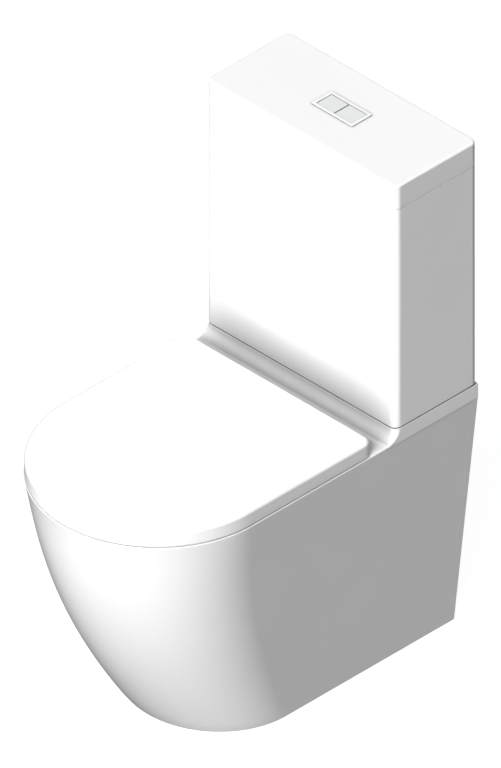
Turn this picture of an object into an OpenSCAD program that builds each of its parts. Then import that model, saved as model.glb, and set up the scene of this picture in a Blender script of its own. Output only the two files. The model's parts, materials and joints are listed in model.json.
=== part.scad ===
// Close coupled toilet, back to wall: pan, cistern, dual flush and fill valves, soft-close seat.
// Millimetres. Z is up from the floor, the front faces -Y and X = 0 is the plane of symmetry.
// Inside the modules Y = 0 is the wall; the last transform moves the origin to the foot's centre.

/* [Overall] */
// Width of cistern, platform and pan
body_w = 380; // [364:2:400]
// Reach of the pan from the wall
projection = 641; // [625:1:665]

/* [Pan] */
// Height of the deck above the floor
deck_h = 413; // [400:1:430]
// Rounding of the deck's outer edge
deck_edge_r = 2; // [1:0.5:4]
// Thickness of the deck
deck_t = 14; // [12:1:18]
// Thickness of the skirt's wall
skirt_t = 12; // [10:1:15]
// Width of the foot on the floor
foot_w = 283; // [270:1:300]
// Reach of the foot from the wall
foot_reach = 471; // [455:1:485]
// Distance from the wall to where the foot's front curve starts
foot_curve_start = 335; // [320:1:345]
// Reach of the lower pull point of the front profile
belly_reach_low = 618; // [600:1:624]
// Height of the lower pull point
belly_h_low = 215; // [195:1:235]
// Reach of the upper pull point of the front profile
belly_reach_high = 622; // [610:1:628]
// Height of the upper pull point
belly_h_high = 333; // [315:1:345]

/* [Platform] */
// Rise of the cistern platform above the deck
platform_rise = 21.5; // [20:0.5:30]
// Radius of the cove from platform to deck
cove_r = 18; // [14:1:20]
// Height of the platform's upright side that laps below the deck
platform_lap = 4; // [3:0.5:8]
// How far the platform stands proud of the pan's sides
platform_proud = 0.5; // [0.3:0.1:1]
// Thickness of the platform's top
platform_t = 14.5; // [12:0.5:18]

/* [Bowl] */
// Width of the bowl's mouth
mouth_w = 264; // [240:2:280]
// Reach of the mouth's front edge from the wall
mouth_front = 598; // [585:1:602]
// Distance from the wall to the mouth's rear edge
mouth_back = 288; // [282:1:300]
// Width of the sump at its floor
sump_w = 68; // [60:2:80]
// Height of the sump's floor
sump_h = 128; // [124:1:134]
// Reach of the sump's front
sump_front = 415; // [405:1:430]
// Distance from the wall to the sump's rear
sump_back = 345; // [338:1:350]
// Wall of the bowl
bowl_t = 10; // [8:0.5:11]

/* [Trap and outlet] */
// Bore radius of the trapway
trap_r = 26; // [24:0.5:27]
// Wall of the trapway
trap_t = 9; // [7:0.5:10]
// Height of the dip's centre line
dip_h = 154; // [152:1:158]
// Distance from the wall to the dip's bend
dip_back = 300; // [294:1:303]
// Height of the crown's centre line
crown_h = 256; // [244:1:262]
// Distance from the wall to the crown
crown_back = 242; // [232:1:246]
// Height of the outlet's centre line
outlet_h = 186; // [176:1:196]
// Outer radius of the outlet spigot
spigot_r = 51; // [50:0.5:55]
// Bore radius of the outlet spigot
spigot_bore_r = 41; // [38:0.5:43]
// Length of the spigot's free end
spigot_l = 110; // [90:1:120]
// Set back of the spigot from the wall
spigot_gap = 14; // [8:1:30]

/* [Flushway] */
// Bore radius of the flushway in the pan
flushway_r = 24; // [20:0.5:25]
// Wall round the flushway
flushway_t = 9; // [7:0.5:10]
// Radius of the gasket's recess in the platform
recess_r = 46; // [46:0.5:50]
// Depth of the gasket's recess
recess_depth = 32; // [30:0.5:34]

/* [Cistern] */
// Depth of the cistern from wall to front
cistern_d = 166; // [160:1:172]
// Height of the tank
tank_h = 378; // [370:1:400]
// Height of the lid
lid_h = 41; // [38:1:46]
// Radius of the upright corners
corner_r = 12; // [8:1:16]
// Rounding of the lid's top edge
lid_edge_r = 4; // [2:0.5:6]
// Wall of the tank
tank_t = 9; // [8:0.5:11]
// Floor of the tank
tank_floor_t = 12; // [10:0.5:14]
// Wall of the lid
lid_t = 11; // [10.5:0.5:13]
// Thickness of the lid's top
lid_top_t = 12; // [10:0.5:14]
// Depth of the lid's locating lip below its edge
lip_depth = 8; // [5:0.5:12]
// Seam between tank and platform
platform_seam = 1; // [1:0.5:3]
// Seam between lid and tank
lid_seam = 0.5; // [0.4:0.1:1]
// Spacing of the wall screws
wall_screw_spacing = 220; // [180:5:260]
// Radius of the wall screw holes
wall_screw_r = 3.5; // [3:0.25:4]
// Height of the wall screws above the tank's base
wall_screw_h = 335; // [320:1:345]

/* [Coupling] */
// Spacing of the coupling bolts
coupling_spacing = 150; // [146:1:160]
// Radius of the coupling bolts
coupling_r = 4; // [3:0.5:5]
// Length of the coupling bolts under the head
coupling_l = 76; // [70:1:84]

/* [Flush valve] */
// Radius of the valve's threaded tail
tail_r = 29.8; // [28:0.1:31]
// Bore radius of the tail
tail_bore_r = 25; // [22:0.5:26]
// Length of the tail below the tank's floor
tail_l = 26; // [22:1:28]
// Radius of the tower
tower_r = 38; // [37:0.5:42]
// Height of the tower's top above the tank's floor
tower_h = 256; // [220:1:262]
// Radius of the overflow tube
overflow_r = 13; // [11:0.5:14]
// Distance of each rocker's pivot from the tower's axis
rocker_pivot_x = 33; // [32:0.5:34]
// Distance of each push rod's foot from the pivot
rocker_arm = 15; // [14:0.5:17]
// Width of a rocker
rocker_w = 9; // [7:0.5:12]

/* [Fill valve] */
// Distance of the fill valve from the cistern's side
fill_from_side = 60; // [54:1:62]
// Radius of the inlet thread, G 1/2
inlet_r = 10.4775; // [9:0.0005:11]
// Length of the inlet tail below the tank's floor
inlet_l = 50; // [44:1:60]
// Radius of the riser
riser_r = 9; // [8.5:0.5:10]
// Height of the riser above the tank's floor
riser_h = 252; // [235:1:262]
// Radius of the float
float_r = 27; // [24:0.5:28]
// Height of the float
float_h = 80; // [60:1:90]
// Travel of the float
float_travel = 15; // [10:0.5:16]

/* [Buttons] */
// Width of the bezel
bezel_w = 82; // [80:0.5:90]
// Depth of the bezel
bezel_d = 41; // [40:0.5:46]
// Height of the bezel above the lid
bezel_h = 1.5; // [1:0.1:2]
// Width of the bezel's opening
button_opening_w = 71; // [68:0.5:72]
// Depth of the bezel's opening
button_opening_d = 31; // [29:0.5:32]
// Wall of the button tray
tray_t = 1.5; // [1:0.1:1.8]
// Gap between the two buttons
button_gap = 1.6; // [1:0.1:2]
// Travel of the buttons
button_travel = 8; // [6:0.5:8.5]
// Radius of the buttons' stems
stem_r = 4; // [3.5:0.1:4.4]
// Mean radius of the button springs
spring_r = 6.4; // [5.8:0.1:7]

/* [Seat] */
// Gap between the deck and the seat lid's edge
seat_gap = 1.2; // [1:0.1:2]
// Height of the seat lid's top above the deck
seat_h = 26.5; // [26.3:0.1:28]
// Set back of the seat lid's outline inside the pan's outline
seat_inset = 0.8; // [0.5:0.1:2]
// Rounding of the seat lid's top edge
seat_edge_r = 6; // [5:0.5:6.5]
// Thickness of the seat lid
seat_lid_t = 4; // [3.5:0.1:4.2]
// Distance from the wall to the seat lid's rear edge
seat_back = 208; // [207:0.5:212]
// Corner radius of the seat lid's rear corners
seat_corner_r = 15; // [8:1:20]
// Height of the ring's underside above the deck
ring_lift = 5; // [4:0.5:6]
// Thickness of the seat ring
ring_t = 14; // [12:0.5:14.5]
// Width of the ring's opening
ring_opening_w = 224; // [200:2:236]
// Reach of the ring's opening from the wall
ring_opening_front = 566; // [550:1:574]
// Distance from the wall to the rear of the ring's opening
ring_opening_back = 300; // [290:1:310]

/* [Seat hinge] */
// Spacing of the two seat fixings
seat_fixing_spacing = 155; // [140:1:165]
// Height of the hinge axis above the deck
axis_h = 14.5; // [14.3:0.1:14.7]
// Distance of the hinge axis in front of the lid's rear edge
axis_inset = 8; // [7.8:0.1:8.4]
// Radius of the hinge pins
pin_r = 3; // [2.5:0.1:3.5]
// Length of each hinge barrel
barrel_l = 18; // [14:0.5:22]
// Radius of the soft-close dampers
damper_r = 5.4; // [5:0.1:5.6]
// Length of the soft-close dampers
damper_l = 42; // [36:1:44]

/* [Fits] */
// Radial clearance of a shaft turning in a bore
running_fit = 0.05; // [0.02:0.01:0.1]
// Clearance between parts that slide past each other
slide_gap = 0.3; // [0.2:0.05:0.5]
// Gap round fixed parts that drop into a hole
loose_gap = 1; // [0.8:0.1:1.5]

/* [Hidden] */
$fn = 96;
EPS = 0.01;
ARC_STEPS = 36;
PROFILE_STEPS = 12;
EDGE_STEPS = 3;

platform_h = deck_h + platform_rise;
tank_base_h = platform_h + platform_seam;
tank_floor_h = tank_base_h + tank_floor_t;
tank_top_h = tank_base_h + tank_h;
lid_base_h = tank_top_h + lid_seam;
lid_top_h = lid_base_h + lid_h;
lid_ceiling_h = lid_top_h - lid_top_t;
cistern_mid = cistern_d / 2;
rim_w = body_w - 2 * platform_proud;
rim_curve_start = projection - rim_w / 2;
bend_bulge = 0.8;
bowl_top_pull = 112;
bowl_low_pull = 42;
cavity_top_h = deck_h - deck_t;
platform_ceiling_h = platform_h - platform_t;

// Floor brackets
bracket_l = 40;
bracket_h = 36;
bracket_t = 4;
bracket_leg = 36;
bracket_back = 90;
floor_screw_r = 3.25;
floor_screw_x = foot_w / 2 - skirt_t - slide_gap - bracket_leg / 2;

// Sheet rubber under the flanges inside the tank
washer_t = 3;
flange_h = tank_floor_h + washer_t;

// Flush valve
flange_t = 4.5;
seat_lip_h = 7;
seat_lip_top = flange_h + flange_t + seat_lip_h;
seal_t = 3;
tower_foot_h = flange_h + flange_t + 25;
tower_top_h = tank_floor_h + tower_h;
tower_plate_t = 4;
tower_t = 3;
cap_t = 8;
cap_top_h = tower_top_h + cap_t;
rocker_axis_h = cap_top_h + 10;
rocker_t = 4;
rocker_pin_r = 2;
ear_t = 3;
tip_reach = 18;
tip_rise = 5;
lug_h = rocker_axis_h + tip_rise + slide_gap;
lug_t = 3;
overflow_top_h = lug_h + 14;
half_rod_x = 22;
half_rod_y = 9;
half_rod_r = 2.5;
half_float_r = 8;
half_float_l = 46;
half_float_rise = 110;

// Fill valve
fill_x = body_w / 2 - fill_from_side;
shank_r = inlet_r + 0.5;
shank_nut_r = shank_r + 6.5;
shank_nut_h = 9;
head_h = 40;
valve_cap_h = 12;
riser_top_h = tank_floor_h + riser_h;
valve_cap_top_h = riser_top_h + head_h + valve_cap_h;
lever_axis_h = valve_cap_top_h + 5;
lever_pivot_offset = 8;
lever_arm = 30;
lever_t = 5;
lever_w = 8;
lever_pin_r = 1.5;
float_top_h = riser_top_h - float_travel - 5;
link_r = 1.8;

// Buttons
button_clear = 0.4;
button_w = (button_opening_w - button_gap) / 2 - button_clear;
button_d = button_opening_d - 2 * button_clear;
button_x = button_gap / 2 + button_w / 2;
button_h = 8;
button_top_h = lid_top_h + bezel_h - 0.6;
button_t = 2;
button_skirt_t = 1.4;
tray_floor_t = 2.5;
tray_clear = 3.5;
tray_depth = button_h + button_travel + tray_clear + tray_floor_t;
tray_base_h = lid_top_h - tray_depth;
rod_bore_r = 2.6;
rod_r = 2.5;
rod_foot_r = 3;
rod_foot_x = rocker_pivot_x + rocker_arm;
rod_bar_h = tray_base_h - 16;

// Seat
seat_axis = [0, -(seat_back + axis_inset), deck_h + axis_h];
seat_top_h = deck_h + seat_h;
seat_ceiling_h = seat_top_h - seat_lid_t;
seat_w = rim_w - 2 * seat_inset;
swing_r = axis_h - 0.8;
hub_r = seat_h - seat_lid_t - axis_h - 0.8;
barrel_r = axis_inset - 0.5;
hub_gap = 1;
ear_l = 12;
ring_h = deck_h + ring_lift;
ring_inset = seat_inset + seat_lid_t + 1.8;
ring_back = seat_back + axis_inset + hub_r + 4.3;
fixing_x = seat_fixing_spacing / 2;
plate_t = 3;
plate_r = 16;
seat_bolt_r = 3;
seat_bush_r = 6.9;

china = [0.95, 0.95, 0.94];
seat_white = [0.93, 0.93, 0.92];
chrome = [0.8, 0.81, 0.82];
steel = [0.68, 0.69, 0.7];
rubber = [0.15, 0.15, 0.16];
grey_plastic = [0.72, 0.74, 0.76];
blue_plastic = [0.2, 0.42, 0.7];
button_white = [0.9, 0.92, 0.92];

// ---- General shapes ----

// Moves the wall's plane back, so that the origin is the centre of the foot print
module place() {
    translate([0, projection / 2, 0]) children();
}

// Both of a pair that stand at the same distance left and right
module pair(x) {
    for (side = [-1, 1]) translate([side * x, 0, 0]) children();
}

module tube(outer_r, inner_r, h) {
    difference() {
        cylinder(r = outer_r, h = h);
        translate([0, 0, -1]) cylinder(r = inner_r, h = h + 2);
    }
}

module rounded_square(w, d, r) {
    square([w - 2 * r, d], center = true);
    square([w, d - 2 * r], center = true);
    for (x = [-1, 1], y = [-1, 1])
        translate([x * (w / 2 - r), y * (d / 2 - r)]) circle(r = r);
}

module rounded_block(w, d, h, r) {
    linear_extrude(h) rounded_square(w, d, r);
}

// A cylinder that lies along X
module x_rod(r, l) {
    rotate([0, 90, 0]) cylinder(r = r, h = l, center = true);
}

// A cylinder that lies along Y
module y_rod(r, l) {
    rotate([90, 0, 0]) cylinder(r = r, h = l, center = true);
}

// A round bar between two points of the plane X = 0, with a ball at its start for the bend
module bar_between(a, b, r) {
    run = b - a;
    translate([0, a[0], a[1]]) {
        sphere(r = r + bend_bulge);
        rotate([atan2(run[1], run[0]) - 90, 0, 0]) cylinder(r = r, h = norm(run));
    }
}

// Cubic curve through four values
function bezier(p, t) =
    let (s = 1 - t) s * s * s * p[0] + 3 * s * s * t * p[1] + 3 * s * t * t * p[2] + t * t * t * p[3];

// A closed solid from a stack of loops with the same number of points, listed anticlockwise
module loft(loops) {
    n = len(loops[0]);
    m = len(loops);
    polyhedron(
        points = [for (l = loops) for (p = l) p],
        faces = concat(
            [[for (j = [0:n - 1]) j]],
            [[for (j = [n - 1:-1:0]) (m - 1) * n + j]],
            [for (i = [0:m - 2]) for (j = [0:n - 1])
                [i * n + j, (i + 1) * n + j, (i + 1) * n + (j + 1) % n]],
            [for (i = [0:m - 2]) for (j = [0:n - 1])
                [i * n + j, (i + 1) * n + (j + 1) % n, i * n + (j + 1) % n]]
        ),
        convexity = 6
    );
}

// ---- Pan ----

rim_h = deck_h - deck_edge_r;
function half_width(z) = (foot_w + (rim_w - foot_w) * z / rim_h) / 2;
function front_reach(t) = bezier([foot_reach, belly_reach_low, belly_reach_high, projection], t);
function front_height(t) = bezier([0, belly_h_low, belly_h_high, rim_h], t);
function curve_start(z) =
    rim_curve_start + (foot_curve_start - rim_curve_start) * pow(max(0, 1 - z / rim_h), 1.7);

// Plan of the pan: straight back and sides, and a half ellipse in front
function pan_loop(half_w, reach, start, back, z) = concat(
    [[half_w, back, z], [-half_w, back, z]],
    [for (i = [0:ARC_STEPS]) let (a = 180 + 180 * i / ARC_STEPS)
        [half_w * cos(a), -start + (reach - start) * sin(a), z]]
);

function pan_loop_at(t, inset, back) =
    let (z = front_height(t))
    pan_loop(half_width(z) - inset, front_reach(t) - inset, curve_start(z), back, z);

// The loops of the outer hull up to the rim, and those of its rounded edge
hull_loops = [for (i = [0:PROFILE_STEPS]) pan_loop_at(i / PROFILE_STEPS, 0, 0)];
edge_loops = [for (i = [1:EDGE_STEPS])
    let (a = 90 * i / EDGE_STEPS, inset = deck_edge_r * (1 - cos(a)))
    pan_loop(rim_w / 2 - inset, projection - inset, rim_curve_start, 0, rim_h + deck_edge_r * sin(a))];

module pan_hull() {
    loft(concat(hull_loops, edge_loops));
}

// The hollow inside the skirt, open at the floor and at the wall
module skirt_hollow() {
    intersection() {
        loft(concat(
            [pan_loop(half_width(0) - skirt_t, foot_reach - skirt_t, foot_curve_start, 1, -1)],
            [for (i = [0:PROFILE_STEPS]) pan_loop_at(i / PROFILE_STEPS, skirt_t, 1)]
        ));
        translate([-body_w, -projection - 1, -2])
            cube([2 * body_w, projection + 10, cavity_top_h + 2]);
    }
    translate([-body_w / 2 + skirt_t, skirt_t - cistern_d, cavity_top_h - 10])
        cube([body_w - 2 * skirt_t, cistern_d - skirt_t + 1, platform_ceiling_h - cavity_top_h + 10]);
}

// Plan of the platform: square at the wall, with rounded front corners
function platform_loop(reach, r, z) = concat(
    [[body_w / 2, 0, z], [-body_w / 2, 0, z]],
    [for (i = [0:6]) let (a = 180 + 15 * i)
        [-body_w / 2 + r + r * cos(a), -reach + r + r * sin(a), z]],
    [for (i = [0:6]) let (a = 270 + 15 * i)
        [body_w / 2 - r + r * cos(a), -reach + r + r * sin(a), z]]
);

// The platform under the cistern, which sweeps into the deck with a cove
module platform() {
    cove_loops = [for (i = [0:8])
        let (a = 90 * i / 8, rise = cove_r * (1 - cos(a)), out = cove_r * (1 - sin(a)))
        platform_loop(cistern_d + out, deck_edge_r + (corner_r - deck_edge_r) * a / 90, deck_h + rise)];
    loft(concat(
        [platform_loop(cistern_d + cove_r, deck_edge_r, deck_h - platform_lap)],
        cove_loops,
        [platform_loop(cistern_d, corner_r, platform_h)]
    ));
}

// One level of the bowl: an oval that shrinks and moves back towards the sump
function bowl_loop(s, grow, z_shift) =
    let (
        half_w = bezier([mouth_w, mouth_w + 8, sump_w + 56, sump_w], s) / 2 + grow,
        front = bezier([mouth_front, mouth_front + 2, sump_front + 55, sump_front], s) + grow,
        back = bezier([mouth_back, mouth_back - 2, mouth_back + 12, sump_back], s) - grow,
        z = bezier([deck_h, deck_h - bowl_top_pull, sump_h + bowl_low_pull, sump_h], s) + z_shift
    )
    [for (i = [0:ARC_STEPS - 1]) let (a = 360 * i / ARC_STEPS)
        [half_w * cos(a), -(front + back) / 2 + (front - back) / 2 * sin(a), z]];

module bowl_void() {
    loft(concat(
        [for (i = [PROFILE_STEPS:-1:0]) bowl_loop(i / PROFILE_STEPS, 0, 0)],
        [bowl_loop(0, 0, 5)]
    ));
}

module bowl_body() {
    loft([for (i = [PROFILE_STEPS:-1:0])
        bowl_loop(i / PROFILE_STEPS, bowl_t, -2 - (bowl_t - 2) * i / PROFILE_STEPS)]);
}

// The trapway: dip, rise to the crown, fall to the outlet
trap_path = [[-sump_front + 39, dip_h], [-dip_back, dip_h], [-crown_back, crown_h],
             [-(spigot_gap + spigot_l + 62), outlet_h], [-(spigot_gap + spigot_l - 4), outlet_h]];

module trap(r) {
    for (i = [0:len(trap_path) - 2]) bar_between(trap_path[i], trap_path[i + 1], r);
}

module spigot(r, l) {
    translate([0, -spigot_gap - l, outlet_h]) rotate([-90, 0, 0]) cylinder(r = r, h = l);
}

// The flushway: down from the gasket's recess, then forward into the bowl
flush_turn_h = deck_h - 3 - flushway_r - flushway_t;

module flushway(r, top_h, l) {
    translate([0, -cistern_mid, flush_turn_h]) {
        sphere(r = r + bend_bulge);
        cylinder(r = r, h = top_h - flush_turn_h);
        rotate([90, 0, 0]) cylinder(r = r, h = l);
    }
}

module pan() {
    color(china) place() difference() {
        union() {
            difference() {
                union() {
                    pan_hull();
                    platform();
                }
                skirt_hollow();
            }
            bowl_body();
            trap(trap_r + trap_t);
            spigot(spigot_r, spigot_l + 20);
            flushway(flushway_r + flushway_t, platform_h - recess_depth, mouth_back - cistern_mid - 5);
            translate([0, -cistern_mid, platform_h - recess_depth - flushway_t])
                cylinder(r = recess_r + flushway_t, h = recess_depth + flushway_t - 2);
        }
        bowl_void();
        trap(trap_r);
        translate([0, 1, 0]) spigot(spigot_bore_r, spigot_l + 1);
        flushway(flushway_r, platform_h, mouth_back - cistern_mid + 8);
        translate([0, -cistern_mid, platform_h - recess_depth]) cylinder(r = recess_r, h = recess_depth + 1);
        translate([0, -cistern_mid, platform_ceiling_h - 5]) {
            pair(coupling_spacing / 2) cylinder(r = coupling_r + 2, h = platform_t + 10);
            translate([-fill_x, 0, 0]) cylinder(r = shank_nut_r + 3, h = platform_t + 10);
        }
        translate([0, seat_axis[1], cavity_top_h - 5]) pair(fixing_x)
            cylinder(r = seat_bush_r + 0.1, h = deck_t + 10);
    }
}

// Locating brackets that are screwed to the floor and hold the skirt from inside
module floor_brackets() {
    foot_in = half_width(0) - skirt_t - slide_gap;
    top_in = half_width(bracket_h) - skirt_t - slide_gap;
    color(grey_plastic) place() for (side = [0, 1]) mirror([side, 0, 0]) difference() {
        translate([0, -bracket_back, 0]) rotate([90, 0, 0]) linear_extrude(bracket_l)
            polygon([[foot_in - bracket_leg, 0], [foot_in, 0], [top_in, bracket_h],
                     [top_in - bracket_t, bracket_h], [foot_in - bracket_t, bracket_t],
                     [foot_in - bracket_leg, bracket_t]]);
        translate([floor_screw_x, -bracket_back - bracket_l / 2, -1])
            cylinder(r = floor_screw_r, h = bracket_t + 2);
    }
}

// ---- Cistern ----

module cistern_tank() {
    color(china) place() difference() {
        translate([0, -cistern_mid, tank_base_h]) rounded_block(body_w, cistern_d, tank_h, corner_r);
        translate([0, -cistern_mid, tank_floor_h])
            rounded_block(body_w - 2 * tank_t, cistern_d - 2 * tank_t, tank_h, corner_r - 4);
        translate([0, -cistern_mid, tank_base_h - 1]) {
            cylinder(r = tail_r + loose_gap, h = tank_floor_t + 2);
            pair(coupling_spacing / 2) cylinder(r = coupling_r + loose_gap, h = tank_floor_t + 2);
            translate([-fill_x, 0, 0]) cylinder(r = inlet_r + loose_gap, h = tank_floor_t + 2);
        }
        translate([0, -tank_t / 2, tank_base_h + wall_screw_h]) pair(wall_screw_spacing / 2)
            y_rod(wall_screw_r, tank_t + 2);
    }
}

pad_r = 10;

module cistern_pads() {
    color(rubber) place() translate([0, -cistern_mid, platform_h])
        pair(body_w / 2 - 20) for (y = [-1, 1])
            translate([0, y * (cistern_mid - 25), 0]) cylinder(r = pad_r, h = platform_seam);
}

base_nut_h = 10;
base_nut_r = tail_r + 7;

// The gasket is squeezed between the tank and the recess, round the tail and its nut
module coupling_gasket() {
    color(rubber) place() translate([0, -cistern_mid, platform_h - recess_depth]) rotate_extrude()
        polygon([
            [tail_r + loose_gap, 0], [recess_r - loose_gap, 0],
            [recess_r - loose_gap, recess_depth + platform_seam],
            [base_nut_r + slide_gap, recess_depth + platform_seam],
            [base_nut_r + slide_gap, recess_depth + platform_seam - base_nut_h - 1],
            [tail_r + loose_gap, recess_depth + platform_seam - base_nut_h - 1]
        ]);
}

bolt_seal_h = 6;
coupling_head_h = 5;

module coupling_bolts() {
    head_h = tank_floor_h + bolt_seal_h;
    color(steel) place() translate([0, -cistern_mid, 0]) pair(coupling_spacing / 2) difference() {
        union() {
            translate([0, 0, head_h]) cylinder(r = coupling_r + 3.5, h = coupling_head_h);
            translate([0, 0, head_h - coupling_l]) cylinder(r = coupling_r, h = coupling_l + 1);
        }
        translate([-coupling_r - 4, -0.8, head_h + coupling_head_h - 2]) cube([2 * coupling_r + 8, 1.6, 3]);
    }
}

module bolt_seals() {
    color(rubber) place() translate([0, -cistern_mid, tank_floor_h]) pair(coupling_spacing / 2)
        difference() {
            cylinder(r1 = coupling_r + 6.5, r2 = coupling_r + 4.5, h = bolt_seal_h);
            translate([0, 0, -1]) cylinder(r = coupling_r + 0.1, h = bolt_seal_h + 2);
        }
}

coupling_washer_t = 2;

module coupling_washers() {
    color(steel) place() translate([0, -cistern_mid, platform_ceiling_h - coupling_washer_t])
        pair(coupling_spacing / 2) tube(coupling_r + 9, coupling_r + 0.3, coupling_washer_t);
}

wing_nut_h = 10;

module wing_nuts() {
    color(chrome) place()
        translate([0, -cistern_mid, platform_ceiling_h - coupling_washer_t - wing_nut_h])
        pair(coupling_spacing / 2) difference() {
            union() {
                cylinder(r = coupling_r + 4, h = wing_nut_h);
                for (turn = [0, 180]) rotate([0, 0, turn + 90]) translate([coupling_r + 9, 0, -3])
                    rotate([90, 0, 0]) translate([0, 0, -1.5]) linear_extrude(3)
                        translate([0, wing_nut_h / 2]) rounded_square(14, wing_nut_h, 4);
            }
            translate([0, 0, -1]) cylinder(r = coupling_r + running_fit, h = wing_nut_h + 2);
        }
}

// ---- Flush valve ----

module at_flush_valve(z) {
    place() translate([0, -cistern_mid, z]) children();
}

module flush_valve_base() {
    post_h = tower_foot_h - flange_h - flange_t;
    color(grey_plastic) at_flush_valve(0) {
        difference() {
            union() {
                translate([0, 0, tank_base_h - tail_l]) cylinder(r = tail_r, h = tail_l + tank_floor_t + washer_t);
                translate([0, 0, flange_h]) cylinder(r = tail_r + 10, h = flange_t);
                translate([0, 0, flange_h]) cylinder(r = tail_bore_r + 3, h = flange_t + seat_lip_h);
            }
            translate([0, 0, tank_base_h - tail_l - 1]) cylinder(r = tail_bore_r, h = tail_l + 60);
        }
        for (turn = [45:90:315]) rotate([0, 0, turn])
            translate([tower_r - tower_t, -4, flange_h + flange_t - 1]) cube([tower_t, 8, post_h + 1]);
    }
}

module base_washer() {
    color(rubber) at_flush_valve(tank_floor_h) tube(tail_r + 9.5, tail_r + 0.3, washer_t);
}

// Ring nut with eight grips that pulls the valve down on its washer
module base_nut() {
    color(grey_plastic) at_flush_valve(tank_base_h - base_nut_h) difference() {
        cylinder(r = base_nut_r, h = base_nut_h);
        translate([0, 0, -1]) cylinder(r = tail_r + running_fit, h = base_nut_h + 2);
        for (turn = [0:45:315]) rotate([0, 0, turn]) translate([base_nut_r + 1, 0, -1])
            cylinder(r = 3, h = base_nut_h + 2);
    }
}

// Cage round the plunger, with a lower and an upper row of windows
module flush_tower() {
    h = tower_top_h - tower_foot_h;
    window_h = (h - 60) / 2;
    color(grey_plastic) at_flush_valve(tower_foot_h) difference() {
        cylinder(r = tower_r, h = h);
        translate([0, 0, -1]) cylinder(r = tower_r - tower_t, h = h - tower_plate_t + 1);
        translate([0, 0, h - tower_plate_t - 1]) cylinder(r = overflow_r + slide_gap, h = tower_plate_t + 2);
        translate([-half_rod_x, half_rod_y, h - tower_plate_t - 1])
            cylinder(r = half_rod_r + slide_gap, h = tower_plate_t + 2);
        for (row = [0, 1], turn = [0, 60, 120]) rotate([0, 0, turn])
            translate([-tower_r - 1, -9, 20 + row * (window_h + 20)])
                cube([2 * tower_r + 2, 18, window_h]);
    }
}

module rocker_ear() {
    rotate([90, 0, 0]) linear_extrude(ear_t, center = true) difference() {
        union() {
            circle(r = 5);
            translate([-5, cap_top_h - rocker_axis_h - 1]) square([10, rocker_axis_h - cap_top_h + 1]);
        }
        circle(r = rocker_pin_r + running_fit);
    }
}

ear_y = rocker_w / 2 + slide_gap + ear_t / 2;

module tower_cap() {
    color(blue_plastic) at_flush_valve(0) {
        translate([0, 0, tower_top_h]) difference() {
            cylinder(r = tower_r + 1, h = cap_t);
            translate([0, 0, -1]) cylinder(r = overflow_r + slide_gap, h = cap_t + 2);
            translate([-half_rod_x, half_rod_y, -1]) cylinder(r = half_rod_r + slide_gap, h = cap_t + 2);
        }
        pair(rocker_pivot_x) for (side = [-1, 1]) translate([0, side * ear_y, rocker_axis_h]) rocker_ear();
    }
}

module rocker_pins() {
    color(steel) at_flush_valve(rocker_axis_h) pair(rocker_pivot_x) y_rod(rocker_pin_r, 2 * ear_y + ear_t);
}

// Rocker in its own frame: the pivot at the origin and the push rod's side towards +X
module rocker() {
    color(blue_plastic) difference() {
        union() {
            y_rod(4, rocker_w);
            translate([0, -rocker_w / 2, 0]) cube([rocker_arm + 5, rocker_w, rocker_t]);
            translate([-tip_reach, -rocker_w / 2, tip_rise - rocker_t]) cube([tip_reach, rocker_w, rocker_t]);
        }
        y_rod(rocker_pin_r + running_fit, rocker_w + 2);
    }
}

module full_rocker() {
    at_flush_valve(rocker_axis_h) translate([rocker_pivot_x, 0, 0]) rocker();
}

module half_rocker() {
    at_flush_valve(rocker_axis_h) mirror([1, 0, 0]) translate([rocker_pivot_x, 0, 0]) rocker();
}

// Plunger disc on the overflow tube, with the lug that the full-flush rocker lifts
module flush_plunger() {
    seal_top = seat_lip_top + slide_gap + seal_t;
    color(grey_plastic) at_flush_valve(0) difference() {
        union() {
            translate([0, 0, seal_top - seal_t]) cylinder(r = overflow_r, h = overflow_top_h - seal_top + seal_t);
            translate([0, 0, seal_top]) cylinder(r = tail_bore_r + 2, h = 5);
            translate([0, -4, lug_h]) cube([rocker_pivot_x - tip_reach + 6, 8, lug_t]);
        }
        translate([0, 0, seat_lip_top - 1]) cylinder(r = overflow_r - 2, h = overflow_top_h - seat_lip_top + 2);
    }
}

module plunger_seal() {
    color([0.75, 0.2, 0.15]) at_flush_valve(seat_lip_top + slide_gap)
        tube(tail_bore_r + 4, overflow_r + 0.1, seal_t);
}

// Float beside the overflow tube, with the lug that the half-flush rocker lifts
module half_flush_float() {
    float_base = tower_foot_h + half_float_rise;
    lug_end = rocker_pivot_x - tip_reach;
    color(blue_plastic) at_flush_valve(0) {
        translate([-half_rod_x, half_rod_y, float_base]) {
            cylinder(r = half_float_r, h = half_float_l);
            cylinder(r = half_rod_r, h = lug_h + lug_t - float_base);
        }
        translate([-half_rod_x - half_rod_r, -4, lug_h])
            cube([half_rod_x + half_rod_r - lug_end, half_rod_y + half_rod_r + 4, lug_t]);
    }
}

// ---- Fill valve ----

module at_fill_valve(z) {
    place() translate([-fill_x, -cistern_mid, z]) children();
}

module fill_valve_shank() {
    base_h = tank_base_h - inlet_l;
    shank_h = tank_base_h - shank_nut_h - 2;
    color(grey_plastic) at_fill_valve(0) difference() {
        union() {
            translate([0, 0, base_h]) cylinder(r = inlet_r, h = shank_h - base_h);
            translate([0, 0, shank_h]) cylinder(r = shank_r, h = flange_h - shank_h + 1);
            translate([0, 0, flange_h]) cylinder(r = shank_r + 5.5, h = 4);
            translate([0, 0, flange_h]) cylinder(r = riser_r, h = riser_top_h - flange_h);
        }
        translate([0, 0, base_h - 1]) cylinder(r = 7, h = 31);
        translate([0, 0, base_h + 28]) cylinder(r = 4.5, h = riser_top_h - base_h);
    }
}

module shank_washer() {
    color(rubber) at_fill_valve(tank_floor_h) tube(shank_r + 5.5, shank_r + 0.3, washer_t);
}

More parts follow.
